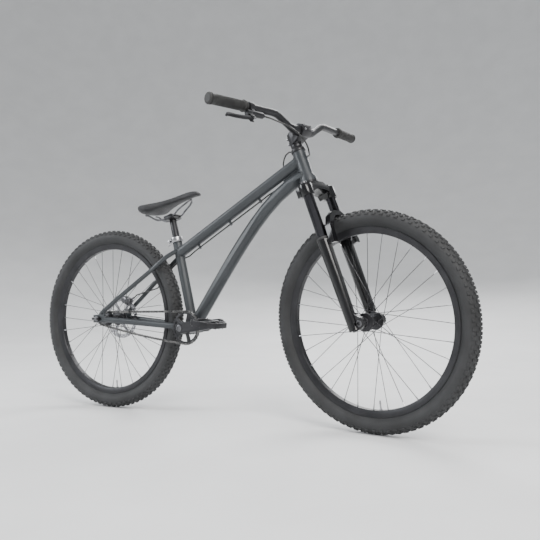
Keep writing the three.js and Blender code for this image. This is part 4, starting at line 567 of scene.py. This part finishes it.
def mergedCopy(node):
    piece = linked(node, cad[node].data.copy())
    editAll(piece)
    bpy.ops.mesh.remove_doubles(threshold=mergeDistance)
    bpy.ops.mesh.dissolve_limited(angle_limit=math.radians(flatAngle))
    bpy.ops.object.mode_set(mode="OBJECT")
    return piece


slotOf = {subpart["node"]: subpart["material_slot"] for subpart in frame["record"]["subparts"]}
skins = {}


def dressSolids():
    for node, source in cad.items():
        if node in modelledAnew:
            continue
        piece = mergedCopy(node)
        width = edgePlan.get(node, 0)
        if width:
            applied(piece, "BEVEL", width=width * mm, segments=2, limit_method="ANGLE",
                    angle_limit=math.radians(sharpAngle), use_clamp_overlap=True, harden_normals=False)
        body = None if node == "brake_hose_loop" else source["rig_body"]
        skins[node] = finished(piece, wordJoined(node) + "Skin", body, slotOf[node], [node])
    bpy.context.view_layer.update()
    print("solids dressed:", len(skins))


# Tyres: a round casing with staggered knobs

treadPlan = {
    "middle": 310, "casing": 24.6, "steps": 120, "count": 84, "widening": 0.09, "wideFrom": 70,
    "bead": [(285.6, 12.8), (279.9, 12.6), (279.9, 9.8)], "inside": (21.5, 23), "footShare": 1.06,
    "outerAngles": range(0, 150, 10), "innerAngles": (125, 90, 60, 30, 0),
    "rows": [  # angle from the crown, length round the tyre, width across, height, share of a step it is turned
        (11, 10.5, 8.2, 3.4, 0.0), (-11, 10.5, 8.2, 3.4, 0.5),
        (34, 9.5, 8.6, 3.4, 0.5), (-34, 9.5, 8.6, 3.4, 0.0),
        (57, 11.5, 9.6, 3.2, 0.0), (-57, 11.5, 9.6, 3.2, 0.5),
    ],
}
knobPlan = {"root": 1.2, "topShare": 0.82, "edge": 0.9}


def knob(length, width, height):
    plan = knobPlan
    deselect()
    bpy.ops.mesh.primitive_cube_add(size=1, location=((height - plan["root"]) / 2 * mm, 0, 0))
    block = bpy.context.object
    block.scale = ((height + plan["root"]) * mm, width * mm, length * mm)
    settle(block)
    pickFaces(block, lambda normal, place: normal.x > 0.9)
    bpy.ops.transform.resize(value=(1, plan["topShare"], plan["topShare"]))
    bpy.ops.object.mode_set(mode="OBJECT")
    applied(block, "BEVEL", width=plan["edge"] * mm, segments=1, limit_method="NONE")
    return block


def makeTyre(name, body, node, space):
    plan = treadPlan
    middle, casing = plan["middle"], plan["casing"]
    outer = []
    for degrees in plan["outerAngles"]:
        angle = math.radians(degrees)
        width = casing * (1 + plan["widening"] * min(degrees, plan["wideFrom"]) / plan["wideFrom"])
        outer.append((middle + casing * math.cos(angle), width * math.sin(angle)))
    depth, halfWidth = plan["inside"]
    inner = [(middle + depth * math.cos(angle), halfWidth * math.sin(angle))
             for angle in map(math.radians, plan["innerAngles"])]
    half = outer + plan["bead"] + inner
    profile = half + [(radius, -side) for radius, side in reversed(half[1:-1])]
    casingRing = spun(profile, plan["steps"])
    knobs = []
    for degrees, length, width, height, turned in plan["rows"]:
        angle = math.radians(degrees)
        block = knob(length, width, height)
        out, across = middle + casing * math.cos(angle), casing * plan["footShare"] * math.sin(angle)
        foot = Matrix.Translation((out * mm, across * mm, 0))
        lean = Matrix.Rotation(angle, 4, "Z")
        step = 2 * math.pi / plan["count"]
        knobs.append(spread(block, [turn @ foot @ lean for turn in roundY(plan["count"], turned * step)]))
    tyre = joined([casingRing, *knobs])
    tyre.data.transform(space)
    rubber = tyreRubber(name + "Rubber", tyrePlan, space)
    finished(tyre, name, body, "tyre_rubber", [node], rubber, 32)


# Rims with their valve, and hubs laced with round spokes

wheelPlan = {
    "spokeRadius": 1.0, "headRadius": 2.0, "headHeight": 1.6, "nippleRadius": 2.1, "nippleLength": 13,
    "nippleTaper": 0.8, "perSide": 16, "crosses": 3, "holeRadius": 25, "stagger": 1.3, "rimInner": 265,
    "rimPlace": 3, "rimStaggerShare": 0.7, "steps": 120, "hubSteps": 48,
}
rimProfile = [
    (285, -15), (285, -13.2), (283.5, -13), (279.6, -13), (279.6, 13), (283.5, 13), (285, 13.2), (285, 15),
    (283, 15), (272, 12.6), (266.2, 10.2), (265, 8.4), (264.6, 0), (265, -8.4), (266.2, -10.2), (272, -12.6),
    (283, -15),
]
valvePlan = {  # where each piece starts and ends, and its radii there
    "angle": -84.375, "nut": (265, 261, 4.6, 4.6), "stem": (262, 242, 2.6, 2.6), "cap": (246, 236.4, 3.2, 2.4),
}


def roundAxle(radius, angle, side=0):
    return Vector((radius * math.cos(angle), side, radius * math.sin(angle)))


def makeRim(name, body, node, space):
    ring = spun(rimProfile, wheelPlan["steps"])
    ring.data.transform(space)
    finished(ring, name, body, "satin_black", [node], angle=30)
    aim = math.radians(valvePlan["angle"])
    rods = [valvePlan[piece] for piece in ("nut", "stem", "cap")]
    valve = joined([rodBetween(roundAxle(start, aim), roundAxle(end, aim), wide, 12, narrow)
                    for start, end, wide, narrow in rods])
    valve.data.transform(space)
    finished(valve, name + "Valve", body, "silver")


# Half of one side's spokes, which all lean one way, and their nipples
def spokeFamily(side, flangePlace, way):
    plan = wheelPlan
    step = 2 * math.pi / plan["perSide"]
    hole = (0 if side > 0 else step / 2) + (0 if way > 0 else step)
    lead = hole + way * plan["crosses"] * step
    stagger = plan["stagger"] * way
    start = roundAxle(plan["holeRadius"], hole, side * flangePlace + stagger * side)
    end = roundAxle(plan["rimInner"], lead, side * plan["rimPlace"] + stagger * plan["rimStaggerShare"])
    beside = Vector((0, plan["headHeight"], 0))
    spoke = rodBetween(start, end, plan["spokeRadius"], 6)
    head = rodBetween(start - beside, start + beside, plan["headRadius"], 8)
    nippleStart = end.lerp(start, plan["nippleLength"] / (end - start).length)
    nipple = rodBetween(nippleStart, end, plan["nippleRadius"] * plan["nippleTaper"], 8, plan["nippleRadius"])
    turns = roundY(plan["perSide"] // 2)
    return spread(joined([spoke, head]), turns), spread(nipple, turns)


def makeHub(name, body, node, space, profile, flangePlaces):
    shell = spun(profile, wheelPlan["hubSteps"])
    shell.data.transform(space)
    finished(shell, name, body, "satin_black", [node], angle=32)
    families = [spokeFamily(side, flangePlace, way) for side, flangePlace in flangePlaces for way in (1, -1)]
    lacing, ends = [joined(pieces) for pieces in zip(*families)]
    lacing.data.transform(space)
    finished(lacing, name + "Spokes", body, "dark_steel", finish=finishes["blackSpokeWire"])
    ends.data.transform(space)
    finished(ends, name + "Nipples", body, "silver")


# One flange's outline, from its near foot over its edge to its far foot, which extra widens
def flangeProfile(place, waist, extra=0.0):
    return [(waist, place - 4.6), (17, place - 3.2), (25, place - 2.3), (28, place - 1.9), (28, place + 1.9),
            (25, place + 2.3), (17 + extra, place + 3.2), (waist + extra, place + 4.6)]


frontHubProfile = [
    (10.6, -49.7), (12.5, -49.7), (12.5, -42), (15.5, -40), (15.5, -36.5), *flangeProfile(-31, 13.5),
    (12.6, -20), (11.8, 0), (12.6, 20), *flangeProfile(31, 13.5), (15.5, 36.5), (15.5, 40), (12.5, 42),
    (12.5, 49.7), (10.6, 49.7),
]
rearHubProfile = [
    (5.6, -67.5), (9, -67.5), (9, -53), (14, -53), (14, -33), *flangeProfile(-24, 14), (13, -12), (12.4, 3),
    (13, 18), *flangeProfile(30, 13, 6), (22, 38), (22, 50.8), (15.8, 50.8), (15.8, 53.8), (9, 53.8), (9, 67.5),
    (5.6, 67.5),
]


# Rotor: slanting arms, a waved rim with rows of round holes

rotorPlan = {
    "rows": [(69.2, 24, 0.0, 2.3), (75.2, 24, 0.5, 2.0)],  # radius, count, share of a step it is turned, bore
    "drillFrom": 46, "drillTo": 58, "bolts": 6, "boltPlace": 19.6, "bolt": (3.1, 1.8), "face": 52.9,
}


def makeRotor():
    plan = rotorPlan
    disc = mergedCopy("rear_rotor")
    centre = rearWheelSpace
    drills = []
    for radius, count, turned, bore in plan["rows"]:
        pin = rodBetween((radius, plan["drillFrom"], 0), (radius, plan["drillTo"], 0), bore, 12)
        drills.append(spread(pin, [centre @ turn for turn in roundY(count, turned * 2 * math.pi / count)]))
    tool = joined(drills)
    applied(disc, "BOOLEAN", operation="DIFFERENCE", object=tool, solver="EXACT")
    bpy.data.objects.remove(tool)
    steel = brushedRotor("brushedRotor", discPlan, centre)
    finished(disc, "rotorDisc", "rear_wheel", "rotor_steel", ["rear_rotor"], steel, 30)
    angles = [2 * math.pi * (i + 0.5) / plan["bolts"] for i in range(plan["bolts"])]
    places = [(roundAxle(plan["boltPlace"], angle, plan["face"]), (0, 1, 0)) for angle in angles]
    fitBolts("rotorBolts", "rear_wheel", "dark_steel", plan["bolt"], places, centre)


# Chain: inner and outer links with rollers and pins, one pitch apart

chainPlan = {
    "pitch": 12.7, "line": -48.0, "ringTeeth": 28, "cogTeeth": 12, "rollerRadius": 3.85, "rollerHalf": 1.7,
    "pinRadius": 1.9, "pinHalf": 3.69, "plateHeight": 4.1, "waist": 2.9, "plate": 0.85, "plateSteps": 20,
    "innerPlace": 2.2, "outerPlace": 3.2, "endSquare": 0.3, "halvings": 60,
}


def pointOn(middle, radius, angle):
    return middle + Vector((radius * math.cos(angle), radius * math.sin(angle)))


# The pins' places round both wheels, in the plane of the chain: along, and up from the ground
def chainPlaces(plan):
    pitch = plan["pitch"]
    ringRadius = pitch / (2 * math.sin(math.pi / plan["ringTeeth"]))
    cogRadius = pitch / (2 * math.sin(math.pi / plan["cogTeeth"]))
    ringStep, cogStep = 2 * math.pi / plan["ringTeeth"], 2 * math.pi / plan["cogTeeth"]
    axle, bracket = Vector((0, framePlan["axleHeight"])), bracketPlace.xz
    lean = math.acos((ringRadius - cogRadius) / framePlan["stay"])
    line = math.atan2(axle.y - bracket.y, axle.x - bracket.x)
    upper, lower = line - lean, line + lean
    places = [pointOn(bracket, ringRadius, upper)]
    run = pointOn(axle, cogRadius, upper) - places[0]
    upperLinks = int(run.length // pitch)
    run = run.normalized() * pitch
    places += [places[0] + run * i for i in range(1, upperLinks + 1)]
    free = places[-1] - axle
    turn = math.acos((cogRadius ** 2 + free.length ** 2 - pitch ** 2) / (2 * cogRadius * free.length))
    cogStart = math.atan2(free.y, free.x) + turn

    # The slack run below: it leaves each wheel at a tooth gap, with as many links as keep the count even
    def seat(slope):
        cogSteps = round((lower - slope - cogStart) / cogStep)
        ringSteps = round((upper + 2 * math.pi - lower - slope) / ringStep)
        start = pointOn(axle, cogRadius, cogStart + cogSteps * cogStep)
        end = pointOn(bracket, ringRadius, upper - ringSteps * ringStep)
        chord = (end - start).length
        links = math.ceil(chord / pitch)
        if (upperLinks + 1 + cogSteps + ringSteps + links) % 2:
            links += 1
        sag = math.sqrt(3 * chord * (links * pitch - chord) / 8)
        return cogSteps, ringSteps, start, end, chord, links, 4 * sag / chord

    cogSteps, ringSteps, start, end, chord, links, _ = seat(seat(0)[-1])
    places += [pointOn(axle, cogRadius, cogStart + i * cogStep) for i in range(cogSteps + 1)]
    small, large = 0.0, math.pi / links
    for _ in range(plan["halvings"]):
        bend = (small + large) / 2
        if pitch * math.sin(links * bend / 2) / math.sin(bend / 2) > chord:
            small = bend
        else:
            large = bend
    heading = math.atan2(end.y - start.y, end.x - start.x) - (links - 1) * small / 2
    walk = start.copy()
    for _ in range(links - 1):
        walk = walk + Vector((math.cos(heading), math.sin(heading))) * pitch
        places.append(walk)
        heading += small
    places += [pointOn(bracket, ringRadius, upper - i * ringStep) for i in range(ringSteps, 0, -1)]
    return places


# A waisted plate over two pins, at a place beside the chain's line
def linkPlate(plan, side):
    count = plan["plateSteps"]
    deselect()
    bpy.ops.mesh.primitive_circle_add(vertices=count, radius=0.01, fill_type="NGON")
    plate = bpy.context.object
    half = plan["pitch"] / 2
    for i, point in enumerate(plate.data.vertices):
        angle = 2 * math.pi * (i + 0.5) / count
        reach = math.cos(angle) * (half + plan["plateHeight"])
        beyond = abs(reach) - half
        if beyond > 0:
            height = math.sqrt(max(plan["plateHeight"] ** 2 - beyond ** 2, plan["endSquare"]))
        else:
            height = plan["waist"] + (plan["plateHeight"] - plan["waist"]) * abs(reach / half) ** 2
        point.co = ((half + reach) * mm, side * mm, math.copysign(height, math.sin(angle)) * mm)
    applied(plate, "SOLIDIFY", thickness=plan["plate"] * mm, offset=0)
    return tidied(plate)


def makeChain():
    plan = chainPlan
    places = chainPlaces(plan)
    inner, outer = [joined([linkPlate(plan, -plan[place]), linkPlate(plan, plan[place])])
                    for place in ("innerPlace", "outerPlace")]
    roller = joined([
        rodBetween((0, -plan["rollerHalf"], 0), (0, plan["rollerHalf"], 0), plan["rollerRadius"], 12),
        rodBetween((0, -plan["pinHalf"], 0), (0, plan["pinHalf"], 0), plan["pinRadius"], 10),
    ])
    innerSpaces, outerSpaces, pinSpaces = [], [], []
    for i, place in enumerate(places):
        way = (places[(i + 1) % len(places)] - place).normalized()
        space = frameSpace @ spaceOf(
            Vector((place.x, plan["line"], place.y)) * mm, (way.x, 0, way.y), (0, 1, 0), (-way.y, 0, way.x))
        (outerSpaces if i % 2 else innerSpaces).append(space)
        pinSpaces.append(space)
    chain = joined([spread(inner, innerSpaces), spread(outer, outerSpaces), spread(roller, pinSpaces)])
    finished(chain, "driveChain", "frame", "chain_steel", ["chain"], angle=30)
    print("chain links:", len(places))


# Grips: ribbed rubber between a lock ring and a flared end with a round cap

gripPlan = {  # collar and end list (radius, place along), the end's places counted from the length
    "length": 137, "flange": 18.2, "rib": 15.6, "ribEdge": 1.7, "groove": 14.7, "grooveEdges": (2.0, 3.1),
    "pitch": 3.4, "ribsFrom": 14, "flare": 24,
    "collar": [(11.6, 0.2), (16, 0.2), (16.8, 1), (16.8, 5.2), (16, 6), (13.4, 6.2), (13.4, 7.8)],
    "flangeSteps": [(-0.6, 8), (0, 8.8), (0, 10.6), (-1, 11.6)], "ribStart": 12.6, "ribStop": -18,
    "end": [(16, -12), (16.9, -7), (17.4, -4.4), (16.9, -3.6), (13.8, -3.4), (13.8, -1.8), (16.8, -1.6),
            (17.3, -0.8), (17.3, 1), (16.6, 2.6), (14.6, 4), (11.6, 4.8)],
    "steps": 36, "plug": (11.7, 11.4), "plugFrom": -2, "plugTo": 4.8,
    "barTip": (9, 388, 702), "knee": (43, 128, 685.5),
}


def gripProfile(plan):
    rib, groove, tail = plan["rib"], plan["groove"], plan["length"]
    profile = plan["collar"] + [(plan["flange"] + more, along) for more, along in plan["flangeSteps"]]
    profile.append((rib, plan["ribStart"]))
    along = plan["ribsFrom"]
    while along < tail - plan["flare"]:
        profile += [(rib, along), (rib, along + plan["ribEdge"])]
        profile += [(groove, along + edge) for edge in plan["grooveEdges"]]
        along += plan["pitch"]
    profile.append((rib, tail + plan["ribStop"]))
    return profile + [(radius, tail + along) for radius, along in plan["end"]]


def makeGrip(side, name, node):
    plan = gripPlan
    tail = plan["length"]
    ring = spun(gripProfile(plan), plan["steps"])
    wide, narrow = plan["plug"]
    plug = rodBetween((0, tail + plan["plugFrom"], 0), (0, tail + plan["plugTo"], 0), wide, 24, narrow)
    mirror = Vector((1, side, 1))
    tip, knee = Vector(plan["barTip"]) * mirror, Vector(plan["knee"]) * mirror
    out = (tip - knee).normalized()
    ahead = (Vector((1, 0, 0)) - out * out.x).normalized()
    space = steeringSpace @ spaceOf((tip - out * tail) * mm, ahead, out, ahead.cross(out))
    ring.data.transform(space)
    plug.data.transform(space)
    finished(ring, name, "steering", "grip_rubber", [node], angle=32)
    finished(plug, name + "Plug", "steering", "grip_rubber")


# Saddle: a stuffed cover, with stitched seams along its top

saddlePlan = {
    "place": (-0.23036352, 0, 0.70696396), "tilt": 16, "voxel": 4.5, "shrink": 1.6, "pressure": 3.0,
    "stiffness": 12, "quality": 4, "frames": 14, "swell": 3.2, "swellBand": 0.5, "roundFrom": 20, "roundOver": 120,
    "tailIn": 14, "cornerIn": 22, "halfWidth": 66, "evened": (0.5, 4), "softened": (0.4, 3),
}
stitchPlan = {"length": 4.2, "radius": 0.55, "lift": 0.1, "seamShare": 0.8, "step": 3.5, "first": -37, "last": 38,
              "reach": 4, "above": 150}
saddleAhead, saddleUp = inPlane(saddlePlan["tilt"]), inPlane(saddlePlan["tilt"] + 90)
saddleSpace = spaceOf(saddlePlan["place"], saddleAhead, (0, 1, 0), saddleUp)


# Draws the tail in, more at its corners than in its middle
def tailRounded(pad, plan):
    inverse = saddleSpace.inverted()
    for point in pad.data.vertices:
        place = inverse @ point.co
        share = min(max((-place.x / mm - plan["roundFrom"]) / plan["roundOver"], 0), 1)
        sideShare = min(abs(place.y / mm) / plan["halfWidth"], 1)
        place.x += share ** 2 * (plan["tailIn"] + plan["cornerIn"] * sideShare ** 2) * mm
        point.co = saddleSpace @ place


# Stuffs the pad under pressure, and lets only its top and sides swell
def swollen(pad, plan):
    scene = bpy.context.scene
    before = [point.co.copy() for point in pad.data.vertices]
    normals = [point.normal.copy() for point in pad.data.vertices]
    choose(pad)
    cloth = pad.modifiers.new("cloth", "CLOTH")
    cloth.settings.use_pressure = True
    cloth.settings.uniform_pressure_force = plan["pressure"]
    cloth.settings.effector_weights.gravity = 0
    cloth.settings.tension_stiffness = plan["stiffness"]
    cloth.settings.quality = plan["quality"]
    for number in range(1, plan["frames"] + 1):
        scene.frame_set(number)
    bpy.ops.object.modifier_apply(modifier="cloth")
    scene.frame_set(1)
    limit = plan["swell"] * mm
    for point, place, normal in zip(pad.data.vertices, before, normals):
        share = min(max(normal.dot(saddleUp) / plan["swellBand"] + 1, 0), 1)
        shift = (point.co - place) * share
        if shift.length > limit:
            shift = shift.normalized() * limit
        point.co = place + shift


def makeSaddle():
    plan = saddlePlan
    pad = mergedCopy("saddle")
    editAll(pad)
    bpy.ops.transform.shrink_fatten(value=-plan["shrink"] * mm)
    bpy.ops.object.mode_set(mode="OBJECT")
    applied(pad, "REMESH", mode="VOXEL", voxel_size=plan["voxel"] * mm)
    tailRounded(pad, plan)
    applied(pad, "SMOOTH", factor=plan["evened"][0], iterations=plan["evened"][1])
    swollen(pad, plan)
    applied(pad, "SMOOTH", factor=plan["softened"][0], iterations=plan["softened"][1])
    applied(pad, "SUBSURF", levels=1, render_levels=1)
    cover = saddleCover("saddleCover", coverPlan)
    finished(pad, "saddlePad", "seat", "saddle_cover", ["saddle"], cover, 180)
    return pad


# Two rows of stitches, each laid where a line down from above the seam meets the pad
def makeStitches(pad):
    plan = stitchPlan
    bpy.context.view_layer.update()
    inverse = saddleSpace.inverted()
    local = [inverse @ point.co for point in pad.data.vertices]
    spots = []
    for side in (1, -1):
        trail = []
        for ahead in [number * plan["step"] * mm for number in range(plan["first"], plan["last"] + 1)]:
            near = [point for point in local if abs(point.x - ahead) < plan["reach"] * mm]
            if not near:
                continue
            width = max(point.y for point in near) * plan["seamShare"]
            start = saddleSpace @ Vector((ahead, side * width, plan["above"] * mm))
            hit, place, normal, _ = pad.ray_cast(start, -saddleUp)
            if hit:
                trail.append((place, normal))
        spots += [(trail[i], trail[i + 1]) for i in range(0, len(trail) - 1, 2)]
    thread = rodBetween((-plan["length"] / 2, 0, 0), (plan["length"] / 2, 0, 0), plan["radius"], 6)
    matrices = []
    for (place, normal), (nextPlace, _) in spots:
        ahead = (nextPlace - place).normalized()
        left = normal.cross(ahead).normalized()
        middle = (place + nextPlace) / 2 + normal * plan["lift"] * mm
        matrices.append(spaceOf(middle, ahead, left, ahead.cross(left)))
    finished(spread(thread, matrices), "saddleStitches", "seat", "hose_black")


# Weld beads where the tubes meet

weldPlan = {
    "radius": 2.3, "ripple": 0.16, "count": 90, "topTubeOnSeat": 271, "topTubeAngle": 29.56, "topTubeHalfway": 200,
    "topTube": 19.6, "seatTubeHalfway": 120, "seatTube": 17.6, "downTube": 22.6, "downTubeHigh": (782.5, 0, 777.8),
    "downTubeHighAngle": 26.5, "downTubeLow": (450.3, 0, 393.3), "downTubeLowWay": (-0.58, 0, -0.814),
    "shellArc": 100, "shellTurns": {"Left": -50, "Right": 130},
}


# A bead laid where rays along a tube's surface meet the target, all round or over an arc
def beadRound(name, target, start, way, radius, turned=0, arc=360):
    share = arc / 360
    count = weldPlan["count"] if share == 1 else weldPlan["count"] // 2
    start, way = frameSpace @ (Vector(start) * mm), Vector(way).normalized()
    left = Vector((0, 1, 0))
    up = way.cross(left).normalized()
    left = up.cross(way)
    places = []
    for i in range(count):
        angle = math.radians(turned) + 2 * math.pi * share * i / count
        origin = start + (left * math.cos(angle) + up * math.sin(angle)) * radius * mm
        hit, place, _, _ = skins[target].ray_cast(origin, way)
        if hit:
            places.append(place)
    data = bpy.data.curves.new(name, "CURVE")
    data.dimensions = "3D"
    data.bevel_depth = weldPlan["radius"] * mm
    data.bevel_resolution = 2
    line = data.splines.new("POLY")
    line.points.add(len(places) - 1)
    for i, place in enumerate(places):
        line.points[i].co = (*place, 1)
        line.points[i].radius = 1 + weldPlan["ripple"] * (1 if i % 2 else -1)
    line.use_cyclic_u = share == 1 and len(places) == count
    if not line.use_cyclic_u:
        data.use_fill_caps = True
    choose(linked(name, data))
    bpy.ops.object.convert(target="MESH")
    finished(tidied(bpy.context.object), name, "frame", "frame_paint", angle=60)


def makeWelds():
    plan = weldPlan
    topWay = inPlane(plan["topTubeAngle"])
    onTop = bracketPlace + seatUp * plan["topTubeOnSeat"] + topWay * plan["topTubeHalfway"]
    beadRound("weldTopTubeToHead", "head_tube", onTop, topWay, plan["topTube"])
    beadRound("weldTopTubeToSeatTube", "seat_tube", onTop, -topWay, plan["topTube"])
    onSeat = bracketPlace + seatUp * plan["seatTubeHalfway"]
    beadRound("weldSeatTubeToShell", "bb_shell", onSeat, -seatUp, plan["seatTube"])
    highWay = inPlane(plan["downTubeHighAngle"])
    beadRound("weldDownTubeToHead", "head_tube", plan["downTubeHigh"], highWay, plan["downTube"])
    for side, turned in plan["shellTurns"].items():
        beadRound("weldDownTubeToShell" + side, "bb_shell", plan["downTubeLow"], plan["downTubeLowWay"],
                  plan["downTube"], turned, plan["shellArc"])
    print("welds laid")


# Bolts, knobs and pins

cockpitPlan = {  # in the steering's space; a bolt is its head's radius and height
    "faceBolt": (3.4, 2.8), "faceAhead": 60.7, "faceHeight": 649, "faceAcross": 17.5, "faceUp": 7.2,
    "pinchBolt": (3.1, 1.6), "pinchBehind": -18.5, "pinchAcross": 11, "pinchHeights": (629, 648), "earRadius": 4.6,
    "capBolt": (4.4, 1.8), "capHeight": 666.6,
}


def makeCockpitDetails():
    plan = cockpitPlan
    across, up = plan["faceAcross"], plan["faceUp"]
    corners = [((plan["faceAhead"], y, plan["faceHeight"] + z), (1, 0, 0)) for y in (-across, across)
               for z in (-up, up)]
    fitBolts("faceplateBolts", "steering", "silver", plan["faceBolt"], corners, steeringSpace)
    behind, across = plan["pinchBehind"], plan["pinchAcross"]
    ears = joined([rodBetween((behind, -across, z), (behind, across, z), plan["earRadius"], 16)
                   for z in plan["pinchHeights"]])
    ears.data.transform(steeringSpace)
    finished(ears, "stemPinchEars", "steering", "satin_black")
    spots = [((behind, -across, z), (0, -1, 0)) for z in plan["pinchHeights"]]
    fitBolts("stemPinchBolts", "steering", "silver", plan["pinchBolt"], spots, steeringSpace)
    top = [((0, 0, plan["capHeight"]), (0, 0, 1))]
    fitBolts("topCapBolt", "steering", "silver", plan["capBolt"], top, steeringSpace)


forkPlan = {  # in the steering's space; the profiles list (radius, height)
    "ahead": 18, "across": 65, "top": 462.6, "foot": -16, "footNut": (7.5, 3),
    "dial": [(0.01, 0), (10.5, 0), (10.5, 1.5), (9, 2), (9, 7.4), (8.2, 8.4), (0.01, 8.4)],
    "ridgePlace": 9, "ridgeFrom": 2.4, "ridgeTo": 7.6, "ridgeRadius": 0.8, "ridges": 16,
    "airCap": [(0.01, 0), (9.5, 0), (9.5, 1.6), (7, 2.2), (7, 8.2), (6.2, 9), (0.01, 9)],
}


def makeForkDetails():
    plan = forkPlan
    ahead, across, place = plan["ahead"], plan["across"], plan["ridgePlace"]
    dial = spun(plan["dial"], 32)
    ridge = rodBetween((place, plan["ridgeFrom"], 0), (place, plan["ridgeTo"], 0), plan["ridgeRadius"], 6)
    dial = joined([dial, spread(ridge, roundY(plan["ridges"]))])
    dial.data.transform(steeringSpace @ standAt((ahead, -across, plan["top"])))
    finished(dial, "compressionDial", "steering", "dark_steel")
    airCap = spun(plan["airCap"], 28)
    airCap.data.transform(steeringSpace @ standAt((ahead, across, plan["top"])))
    finished(airCap, "airValveCap", "steering", "satin_black")
    spots = [((ahead, y, plan["foot"]), (0, 0, -1)) for y in (-across, across)]
    fitBolts("legFootNuts", "lower_fork", "dark_steel", plan["footNut"], spots, steeringSpace)


pedalPlan = {
    "pedals": [
        (-1, "rightPedal", "right_pedal", (31.628, 0, 330.711)),
        (1, "leftPedal", "left_pedal", (-301.867, 0, 289.763)),
    ],
    "rows": [(104, 35), (124, 42.5), (144, 42.5), (164, 42.5), (184, 35)],  # out along the axle, and beside it
    "tilt": 8, "face": 8.3, "pin": (1.9, 3.2),
}


def makePedalDetails():
    plan = pedalPlan
    for side, name, body, place in plan["pedals"]:
        space = Matrix.Translation(Vector(place) * mm) @ Matrix.Rotation(math.radians(plan["tilt"]), 4, "Y")
        spots = [((x, side * out, way * plan["face"]), (0, 0, way))
                 for way in (-1, 1) for out, beside in plan["rows"] for x in (beside, -beside)]
        fitBolts(name + "Pins", body, "dark_steel", plan["pin"], spots, space)


crankPlan = {"bolt": (11.4, 2.2), "face": 83.9}


def makeDriveDetails():
    spots = [((bracketPlace.x, side * crankPlan["face"], bracketPlace.z), (0, side, 0)) for side in (-1, 1)]
    fitBolts("crankBolts", "crank", "dark_steel", crankPlan["bolt"], spots, frameSpace)


caliperPlan = {"angle": 68, "reach": 72.5, "face": 65.98, "bolt": (3.4, 2.6), "spots": ((-14, 3), (13, -4))}


def makeBrakeDetails():
    plan = caliperPlan
    across, out = inPlane(plan["angle"] - 90), inPlane(plan["angle"])
    middle = Vector((0, plan["face"], framePlan["axleHeight"])) + out * plan["reach"]
    spots = [(middle + across * a + out * b, (0, 1, 0)) for a, b in plan["spots"]]
    fitBolts("caliperBolts", "frame", "silver", plan["bolt"], spots, frameSpace)


# The hose's loop rides on no body; its place is baked into its mesh
def bendHose():
    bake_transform(skins["brake_hose_loop"])


dressSolids()
bendHose()
makeTyre("frontTyreTread", "front_wheel", "front_tyre", frontWheelSpace)
makeTyre("rearTyreTread", "rear_wheel", "rear_tyre", rearWheelSpace)
makeRim("frontRimRing", "front_wheel", "front_rim", frontWheelSpace)
makeRim("rearRimRing", "rear_wheel", "rear_rim", rearWheelSpace)
makeHub("frontHubShell", "front_wheel", "front_hub", frontWheelSpace, frontHubProfile, [(1, 31), (-1, 31)])
makeHub("rearHubShell", "rear_wheel", "rear_hub", rearWheelSpace, rearHubProfile, [(1, 30), (-1, 24)])
makeRotor()
print("wheels built")
makeChain()
makeGrip(1, "leftGrip", "grip_left")
makeGrip(-1, "rightGrip", "grip_right")
makeStitches(makeSaddle())
tailRounded(skins["saddle_rails"], saddlePlan)
print("saddle stuffed and stitched")
makeWelds()
makeCockpitDetails()
makeForkDetails()
makePedalDetails()
makeDriveDetails()
makeBrakeDetails()
print("small parts fitted")


# Floor

floorPlan = {
    "flat": 2600, "bend": 7400, "bendAngles": range(10, 100, 10), "wall": 10500, "thick": 60, "steps": 96,
    "low": (0.72, 0.725, 0.73), "high": (0.76, 0.765, 0.77), "patch": 3, "rough": 0.75,
}


# A round floor that bends up into a wall, so that no edge shows behind the bike
def makeFloor():
    plan = floorPlan
    bend = [(plan["flat"] + plan["bend"] * math.sin(a), plan["bend"] * (1 - math.cos(a)))
            for a in map(math.radians, plan["bendAngles"])]
    far = plan["flat"] + plan["bend"]
    inside = [(1, 0), (plan["flat"], 0), *bend, (far, plan["wall"])]
    outside = [(far + plan["thick"], plan["wall"]), (far + plan["thick"], -plan["thick"]), (1, -plan["thick"])]
    floor = spun(inside + outside, plan["steps"])
    floor.data.transform(Matrix.Rotation(math.pi / 2, 4, "X"))
    choose(floor)
    bpy.ops.object.shade_smooth_by_angle(angle=math.radians(30))
    floor.name = "studioFloor"
    material, tree, shader = startFinish("paleFloor")
    toned(tree, shader, noiseAt(tree, localPlace(tree), plan["patch"], 4), plan)
    shader.inputs["Roughness"].default_value = plan["rough"]
    floor.data.materials.append(material)


makeFloor()
deselect()
